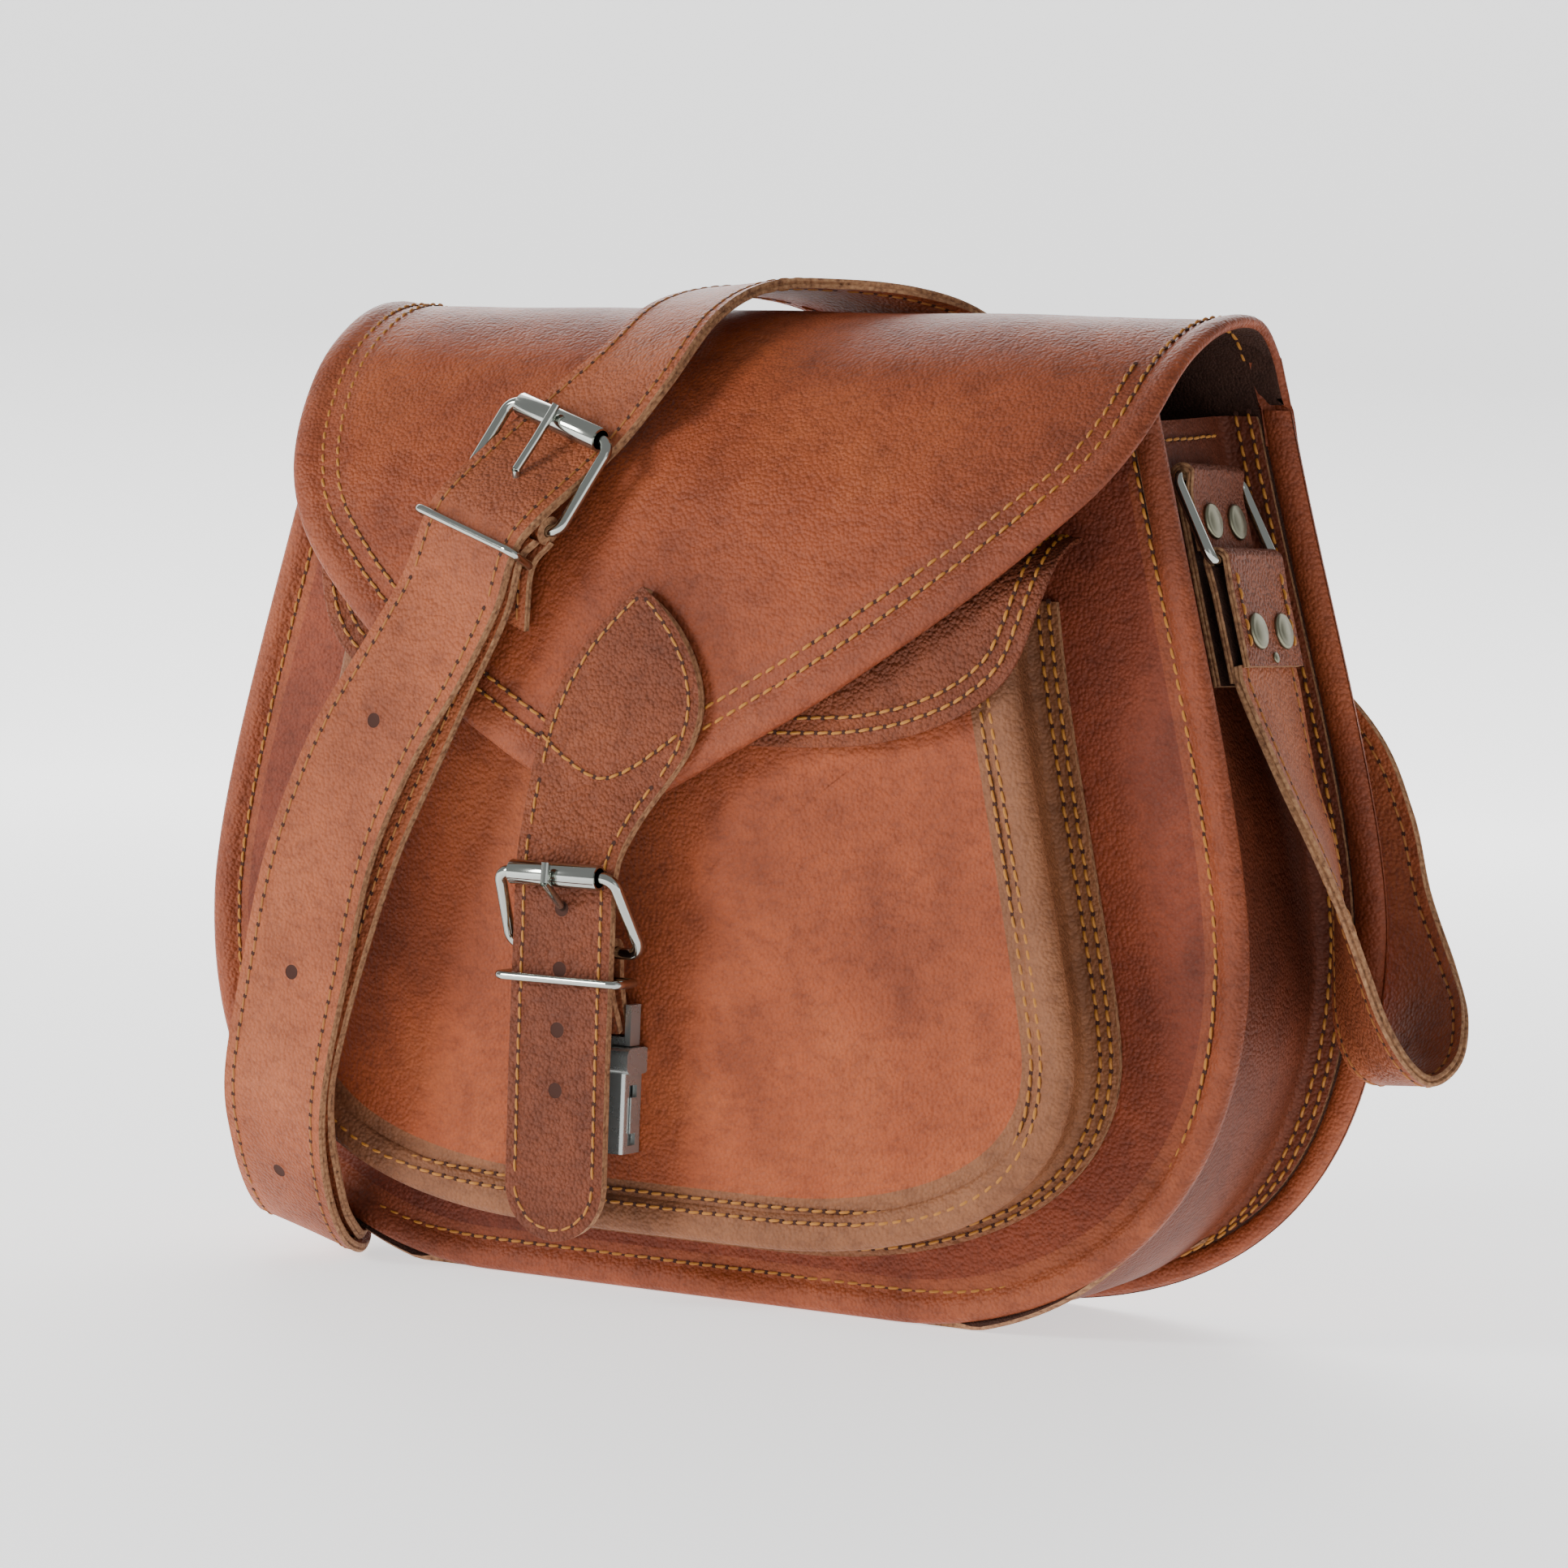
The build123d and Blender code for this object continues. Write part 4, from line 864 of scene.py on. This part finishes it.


# Stations of the two pieces. The long one goes from the right ring down and round
# to the back, up over the flap, down the front and up the left side. The short one goes from the
# buckle, under the long one, to the left ring.
LONG = [
    ((138.2, -25.0, 165.5), (138.2, 7.0, 165.5)),
    ((140.2, -25.0, 159.0), (140.0, 7.0, 159.0)),
    ((150.6, -22.5, 137.6), (144.4, 9.0, 137.6)),
    ((158.0, -20.5, 123.5), (149.2, 10.2, 123.5)),
    ((164.9, -17.5, 108.5), (151.6, 11.4, 108.5)),
    ((169.6, -14.0, 95.0), (151.8, 12.4, 94.0)),
    ((174.0, -10.5, 82.0), (152.5, 13.0, 79.0)),
    ((179.5, -7.0, 72.0), (156.0, 14.5, 68.5)),
    ((184.0, -1.5, 68.0), (160.5, 19.5, 64.5)),
    ((186.5, 8.0, 73.0), (159.5, 24.8, 68.5)),
    ((183.5, 18.0, 83.0), (155.0, 31.5, 78.0)),
    ((176.5, 27.0, 93.0), (146.5, 36.5, 87.0)),
    ((167.0, 32.0, 110.5), (136.5, 38.0, 103.0)),
    ((160.9, 33.0, 130.2), (131.0, 36.0, 119.0)),
    ((149.2, 33.0, 151.6), (123.5, 34.0, 132.5)),
    ((120.0, 31.5, 178.5), (96.5, 32.0, 156.8)),
    ((92.0, 30.0, 205.0), (69.0, 30.5, 182.8)),
    ((83.0, 29.4, 212.6), (60.4, 29.9, 190.2)),
    ((66.0, 28.6, 229.0), (43.5, 29.2, 206.5)),
    ((54.0, 26.5, 241.0), (30.0, 28.6, 222.5)),
    ((42.0, 20.0, 251.0), (15.5, 25.5, 237.0)),
    ((30.0, 8.0, 255.4), (2.0, 21.0, 247.0)),
    ((13.0, -2.0, 256.6), (-13.0, 15.5, 253.4)),
    ((0.0, -15.0, 255.0), (-26.5, 3.0, 254.4)),
    ((-3.0, -36.0, 246.0), (-31.5, -20.0, 249.0)),
    ((-7.0, -52.0, 228.5), (-35.0, -40.5, 235.5)),
    level(ROLLER, -5.0),
    level(HEEL, 5.8),
    level(KEEPER, 5.8),
    ((-37.9, -79.0, 170.5), (-68.0, -74.4, 178.5)),
    ((-47.0, -79.6, 152.7), (-77.8, -76.6, 161.0)),
    ((-60.0, -80.0, 132.0), (-91.5, -78.5, 138.0)),
    ((-71.0, -80.4, 106.7), (-103.0, -79.6, 108.0)),
    ((-77.5, -80.4, 77.0), (-109.4, -79.8, 77.0)),
    ((-83.5, -79.0, 50.2), (-115.4, -77.0, 48.5)),
    ((-87.0, -74.5, 33.0), (-118.0, -68.5, 30.0)),
    ((-89.5, -66.0, 17.0), (-120.5, -58.5, 18.0)),
    ((-92.0, -55.0, 6.5), (-122.0, -49.5, 11.5)),
    ((-97.0, -40.0, 1.8), (-124.5, -42.0, 12.0)),
    ((-104.0, -26.5, 2.4), (-129.5, -38.0, 17.0)),
    ((-115.5, -12.5, 8.5), (-137.5, -33.5, 28.0)),
    ((-130.0, -1.0, 23.0), (-146.0, -27.5, 39.0)),
    ((-144.0, 7.0, 46.0), (-151.5, -25.0, 52.0)),
    ((-152.5, 7.5, 72.0), (-153.4, -24.5, 73.0)),
    ((-154.2, 7.5, 90.0), (-154.2, -24.5, 90.0)),
]
SHORT = [
    level(HEEL - RISE * 4.0, 2.4),
    level(KEEPER, 2.6),
    ((-37.2, -75.0, 170.0), (-67.4, -71.2, 178.5)),
    ((-46.5, -75.2, 150.5), (-77.0, -72.8, 158.5)),
    ((-56.0, -75.4, 130.5), (-87.0, -74.2, 137.0)),
    ((-67.0, -75.6, 106.7), (-99.0, -75.0, 108.0)),
    ((-77.0, -75.6, 77.0), (-109.0, -75.2, 77.0)),
    ((-84.5, -74.0, 51.0), (-116.4, -72.2, 49.5)),
    ((-87.5, -69.8, 36.0), (-118.5, -64.0, 34.0)),
    ((-88.5, -65.0, 25.0), (-119.5, -58.5, 25.0)),
    ((-91.0, -57.0, 14.5), (-121.0, -51.5, 18.5)),
    ((-94.0, -48.0, 8.5), (-122.5, -45.0, 16.0)),
    ((-98.0, -38.5, 5.0), (-124.5, -41.0, 17.5)),
    ((-104.0, -27.0, 6.2), (-128.5, -37.0, 22.5)),
    ((-114.0, -14.0, 12.5), (-134.5, -33.0, 32.0)),
    ((-127.0, -2.0, 27.0), (-141.5, -28.0, 42.0)),
    ((-139.5, 6.0, 48.0), (-147.0, -25.5, 54.0)),
    ((-148.0, 7.5, 73.0), (-149.0, -24.5, 74.0)),
    ((-149.7, 7.5, 92.0), (-149.7, -24.5, 92.0)),
    ((-147.0, 7.5, 122.0), (-147.0, -24.5, 122.0)),
    ((-142.0, 7.2, 147.0), (-142.0, -24.8, 147.0)),
    ((-138.2, 7.0, 165.0), (-138.2, -25.0, 165.0)),
]
PER = 14            # rows of points from one station to the next


def strap_piece(name, stations, first, last, thick=2.6, holes=()):
    """Two-ply strap from one station to another of a run, stitched along both edges.

    Each station holds the two ends of a line across the strap.
    """
    near = spline([s[0] for s in stations], per=PER)[first * PER:last * PER + 1]
    far = spline([s[1] for s in stations], per=PER)[first * PER:last * PER + 1]
    share = np.linspace(0, 1, 11)[None, :, None]
    grid = near[:, None, :] * (1 - share) + far[:, None, :] * share
    piece = Piece(name)
    shell(piece, grid, thick, STRAP, STRAP, RAW, centred=True, rim=0.3)
    n = grid_normals(grid)
    for column, edge in ((1, 0), (9, 10)):
        line = grid[:, column] * 0.92 + grid[:, edge] * 0.08
        mid = n[:, column]
        for way in (1, -1):
            stitch(piece, line + mid * way * thick / 2, mid * way, radius=0.33, lift=0.02,
                   thread=FINE)
    for place in holes:
        i = int((place - first) * PER)
        c, m = grid[i, 5], n[i, 5]
        t = grid[i + 1, 5] - grid[i, 5]
        t /= np.linalg.norm(t)
        w = np.cross(m, t)
        for way in (1, -1):
            # Each punched hole is a closed disk painted dark as shade, not a cut through the strap.
            piece.loops([circle(c + m * way * (thick / 2 + high), t, w, reach, 20)
                         for reach, high in ((2.3, -1.0), (2.3, 0.03), (1.9, 0.12), (1.75, 0.02),
                                             (1.65, 0.01))], [STRAP, STRAP, HOLE_SHADE, HOLE_SHADE])
    return piece


def flex(piece):
    """Build a strap piece and bake its placement into its mesh; no body carries it."""
    thing = piece.build()
    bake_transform(thing)
    return thing


def square_to(direction, *edges):
    """Direction square to one or two edges."""
    d = np.array(direction, float)
    along = [np.subtract(far, near) for near, far in edges]
    if len(along) == 2:
        normal = np.cross(*along)
        d = normal * np.sign(np.dot(normal, d))
    else:
        e = along[0] / np.linalg.norm(along[0])
        d = d - e * np.dot(d, e)
    return d / np.linalg.norm(d)


def slack(stations, low, turn, rise, free, names, holes=()):
    """Run of strap below the shoulder buckle: down the front, round the corner and up the side.

    It is three pieces, from station low to turn, rise and free.
    """
    s1, s2 = stations[turn], stations[rise]
    near1, near2 = np.array(s1[0]), np.array(s2[0])
    parts = [flex(strap_piece(names[0], stations, low, turn, holes=holes))]
    way = square_to(near1 - near2, s1, s2)
    parts.append(flex(strap_piece(names[1], stations, turn, rise)))
    way = square_to((0.1, -0.1, -1.0), s2)
    parts.append(flex(strap_piece(names[2], stations, rise, free)))
    return parts


flex(strap_piece("long_strap_start", LONG, 0, 4))
strap_piece("long_strap_rear", LONG, 4, 17).build("bag", ("strap_rear_run",), "tan_leather")
flex(strap_piece("long_strap_over_fold", LONG, 17, 22))
strap_piece("long_strap_front", LONG, 22, 29).build(
    "flap_body", ("strap_front_run",), "tan_leather")
parts = slack(LONG, 29, 36, 41, 44, ("long_strap_lower", "long_strap_turn", "long_strap_end"),
              holes=(30.75, 33.05, 35.45))
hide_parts("strap_tail")
strap_piece("short_strap_front_leather", SHORT, 0, 2).build(
    "flap_body", ("short_strap_front",), "tan_leather")
parts = slack(SHORT, 2, 9, 15, 19, ("short_strap_lower_leather", "short_strap_turn",
                                    "short_strap_rise"))
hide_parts("short_strap_lower")
flex(strap_piece("short_strap_start", SHORT, 19, 21))

CHAPE = [level(HEEL - RISE * 2.0, -2.7), level(KEEPER, -2.7),
         ((-34.0, -70.6, 166.0), (-62.5, -68.4, 176.0))]
piece = strap_piece("shoulder_chape_leather", CHAPE, 0, 2, thick=2.0)
for lo, hi in ((-15.5, -2.4), (2.4, 15.5)):
    piece.loops([circle(HEEL + ACROSS * along, OUT, RISE, radius, 28)
                 for along, radius in ((lo, 1.62), (lo + 0.1, 3.7), (hi - 0.1, 3.7), (hi, 1.62),
                                       (lo, 1.62))],
                [RAW, STRAP, RAW, SHADED_FLESH_SIDE], closed_ends=False)
piece.build("flap_body", ("shoulder_chape",), "tan_leather")

# ---- closure chape -----------------------------------------------------------------------------
BAR_Y, BAR_Z, BAR_TURN = -69.6, 88.0, 3.65          # the buckle's lower bar and the bend round it
front_ply = [(-73.2, 88.0), (-72.6, 82.0), (-71.0, 76.5), (-68.6, 71.5), (-66.9, 67.7)]
back_ply = [(-66.0, 88.0), (-65.6, 82.0), (-64.3, 76.5), (-62.6, 71.5), (-62.2, 67.7)]
over = [(BAR_Y - BAR_TURN * math.cos(a), BAR_Z + BAR_TURN * math.sin(a))
        for a in np.linspace(0.25, math.pi - 0.25, 12)]
outer_loop = spline(front_ply[::-1] + over + back_ply, per=4)
step = np.gradient(outer_loop, axis=0)
step /= np.linalg.norm(step, axis=1)[:, None]
inner_loop = outer_loop + np.stack([step[:, 1], -step[:, 0]], 1) * 1.9


def chape_strip(piece, left, right, part, material):
    """Strip of the folded chape between two X values, over a part of its length."""
    piece.loops([[(left, *o), (right, *o), (right, *i), (left, *i)]
                 for o, i in zip(outer_loop[part], inner_loop[part])], material)


WHOLE, LOWER_FRONT, LOWER_BACK = slice(None), slice(None, 13), slice(-13, None)
piece = Piece("closure_chape_leather")
chape_strip(piece, -24.5, -19.0, WHOLE, STRAP)
chape_strip(piece, -14.0, -5.0, WHOLE, STRAP)
for part in (LOWER_FRONT, LOWER_BACK):              # below the slot for the tongue
    chape_strip(piece, -19.2, -13.8, part, STRAP)
for left in (-24.62, -5.0):
    chape_strip(piece, left, left + 0.12, WHOLE, RAW)
piece.build("closure_body", ("closure_chape",), "tan_leather")


# ---- side tabs, strap ends, rivets -------------------------------------------------------------
def cap(piece, centre, axis, radius=4.4, height=1.3):
    """Low domed rivet cap with a rolled rim."""
    axis = np.array(axis, float)
    axis /= np.linalg.norm(axis)
    a = np.cross(axis, (0, 0, 1.0))
    a /= np.linalg.norm(a)
    b = np.cross(axis, a)
    dome = ((1.0, -0.2), (1.04, 0.25), (1.0, 0.55), (0.9, 0.72), (0.8, 0.70), (0.62, 0.84),
            (0.35, 0.98), (0.08, 1.0))
    piece.loops([circle(centre + axis * h * height, a, b, radius * r, 32) for r, h in dome], CAP)


def beside(y):
    """Step of y across a tab."""
    return np.array((0, y, 0))


def widened(piece, line, half, side, thick, rim):
    """Leather strip: a line repeated across Y, face out on either side of the bag."""
    grid = np.stack([line + beside(y) for y in np.linspace(-half, half, 9)], 1)
    shell(piece, grid if side > 0 else grid[:, ::-1], thick, DARK, SHADED_FLESH_SIDE, RAW, rim=rim)


for side, word in ((1, "right"), (-1, "left")):
    lean = np.array((side * 0.966, 0, 0.259))
    down = np.array((side * 0.259, 0, -0.966))
    origin = np.array((side * 116.0, -9.0, 209.6))
    ring_top = np.array((side * 120.9, -9.0, 210.4))
    piece = Piece(f"side_tab_leather_{word}")
    rear_ply = [origin + lean * 2.4 + down * d for d in (52.0, 40.0, 28.0, 16.0, 8.0)]
    over = [ring_top + (lean * -math.cos(a) - down * math.sin(a)) * 3.4
            for a in np.linspace(0.1, math.pi - 0.1, 9)]
    front_ply = [origin + lean * 7.0 + down * d for d in (5.0, 10.0, 15.0, 19.0)]
    widened(piece, spline(np.array(rear_ply + over + front_ply), per=4), 14.6, side, 1.9, 0.2)
    sewn = origin + lean * 2.5
    for y in (-12.0, 12.0):
        path = [sewn + down * d + beside(y) for d in np.linspace(20.5, 50.0, 30)]
        stitch(piece, path, np.tile(lean, (30, 1)))
    path = [sewn + down * 49.8 + beside(y) for y in np.linspace(-11, 11, 20)]
    stitch(piece, path, np.tile(lean, (20, 1)))
    piece.build("bag", (f"side_tab_{word}",), "dark_leather")
    piece = Piece(f"side_tab_caps_{word}")
    for y in (-7.0, 7.0):
        cap(piece, origin + lean * 7.1 + down * 12.0 + beside(y), lean)
    piece.build("bag", (f"side_tab_rivets_{word}",), "rivet_nickel")

    out = np.array((side * 0.963, 0, 0.27))
    drop = np.array((side * 0.27, 0, -0.963))
    ring_low = np.array((side * 131.6, -9.0, 190.4))
    piece = Piece(f"strap_end_leather_{word}")
    inner_ply = [ring_low - out * 3.0 + drop * d for d in (29.5, 22.0, 14.0, 7.0)]
    over = [ring_low + (-out * math.cos(a) - drop * math.sin(a)) * 3.4
            for a in np.linspace(0.0, math.pi, 9)]
    outer_ply = [ring_low + out * 3.0 + drop * d for d in (7.0, 14.0, 20.0, 26.5)]
    widened(piece, spline(np.array(inner_ply + over + outer_ply), per=4), STRAP_HALF, side, 1.75,
            0.25)
    for y in (-13.0, 13.0):
        path = [ring_low + out * 3.05 + drop * d + beside(y) for d in np.linspace(3.0, 25.0, 20)]
        stitch(piece, path, np.tile(out, (20, 1)))
    piece.build(f"ring_{word}_body", (f"strap_end_{word}",), "dark_leather")
    piece = Piece(f"strap_end_caps_{word}")
    face = ring_low + out * 3.1
    for y in (-7.5, 7.5):
        cap(piece, face + drop * 18.0 + beside(y), out)
    cap(piece, face + drop * 24.5, out, radius=1.3, height=0.6)
    piece.build(f"ring_{word}_body", (f"strap_end_rivets_{word}",), "rivet_nickel")

# ---- rollers -----------------------------------------------------------------------------------
CLOSURE_ROLLER = np.array((CLOSURE_X, -80.7, 107.0))
for middle, way, half, body, name in (
        (CLOSURE_ROLLER, np.array((1.0, 0, 0)), 12.6, "closure_roller_body", "closure_roller"),
        (ROLLER, ACROSS, 14.6, "shoulder_roller_body", "shoulder_roller")):
    u = np.cross(way, (0, 0, 1.0))
    u /= np.linalg.norm(u)
    v = np.cross(way, u)
    piece = Piece(name + "_tube")
    tube = ((2.5, -half), (3.0, -half), (3.1, -half + 0.15), (3.1, half - 0.15), (3.0, half),
            (2.5, half), (2.5, -half))
    piece.loops([circle(middle + way * d, u, v, r, 40) for r, d in tube], NICKEL,
                closed_ends=False)
    # The roller's slit is a thin strip painted dark as shade, not a gap in the tube.
    seam = []
    for d in (-half + 0.2, half - 0.2):
        seam.append([middle + way * d + (u * math.cos(a) + v * math.sin(a)) * r
                     for r, a in ((3.05, 0.45), (3.12, 0.46), (3.12, 0.54), (3.05, 0.55))])
    piece.loops(seam, HOLE_SHADE)
    piece.build(body, (name,), "nickel")

# ---- metal -------------------------------------------------------------------------------------
for name in ("closure_buckle_frame", "closure_tongue", "closure_keeper",
             "shoulder_buckle_frame", "shoulder_tongue", "shoulder_keeper",
             "ring_left", "ring_right", "clip_housing", "clip_plug", "clip_arm_left",
             "clip_arm_right", "clip_rivets"):
    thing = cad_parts[name]
    thing.data.materials.clear()
    thing.data.materials.append(GUN if name.startswith("clip") else NICKEL)
    thing.data.polygons.foreach_set("use_smooth", [True] * len(thing.data.polygons))
    thing.data.set_sharp_from_angle(angle=math.radians(METAL_ANGLE))
    if name.startswith("clip"):
        soften = thing.modifiers.new("soft_edges", "BEVEL")
        soften.width = 0.0003
        soften.segments = 2
        soften.limit_method = "ANGLE"

# ---- floor and light ---------------------------------------------------------------------------
away = Vector((-math.sin(AZIMUTH), math.cos(AZIMUTH), 0))
aside = Vector((math.cos(AZIMUTH), math.sin(AZIMUTH), 0))
NEAR, BEND_START, BEND, WALL_TOP, FLOOR_Z = -4.0, 2.2, 1.2, 4.0, -0.0002
sweep = [(NEAR, FLOOR_Z), (BEND_START, FLOOR_Z)]
sweep += [(BEND_START + BEND * math.sin(a), BEND - BEND * math.cos(a) + FLOOR_Z)
          for a in np.linspace(0.1, math.pi / 2, 16)]
sweep += [(BEND_START + BEND, WALL_TOP)]
floor_points = [tuple(away * d + aside * w + Vector((0, 0, z))) for d, z in sweep for w in (-6, 6)]
floor_mesh = bpy.data.meshes.new("floor")
floor_mesh.from_pydata(floor_points, [],
                       [(2 * i, 2 * i + 1, 2 * i + 3, 2 * i + 2) for i in range(len(sweep) - 1)])
floor_mesh.polygons.foreach_set("use_smooth", [True] * len(floor_mesh.polygons))
floor = bpy.data.objects.new("floor", floor_mesh)
PALE = plain("pale_floor", (0.94, 0.94, 0.94, 1), 0.8)
glow = PALE.node_tree.nodes["Principled BSDF"].inputs
glow["Emission Color"].default_value = (1, 1, 1, 1)
glow["Emission Strength"].default_value = 1.05
floor_mesh.materials.append(PALE)
scene.collection.objects.link(floor)
world = bpy.data.worlds.new("studio")
world.use_nodes = True
nodes = world.node_tree.nodes
nodes["Background"].inputs["Strength"].default_value = 0.36
nodes["Background"].inputs["Color"].default_value = (1, 1, 1, 1)
scene.world = world


def area(name, where, size, power, tint=(1, 1, 1)):
    """Soft light of a size in metres, aimed at the middle of the bag."""
    light = bpy.data.lights.new(name, "AREA")
    light.shape = "RECTANGLE"
    light.size, light.size_y = size
    light.energy = power
    light.color = tint
    lamp = bpy.data.objects.new(name, light)
    lamp.location = where
    aim = Vector((0, 0, 0.12)) - Vector(where)
    lamp.rotation_euler = aim.to_track_quat("-Z", "Y").to_euler()
    scene.collection.objects.link(lamp)


area("key", (-1.2, -1.5, 0.75), (0.6, 0.6), 30, (1.0, 0.98, 0.95))
area("fill", (1.7, -0.9, 0.4), (0.8, 1.2), 2.5)
area("floor_wash", (-1.2, 2.2, 1.4), (2.4, 1.0), 60)
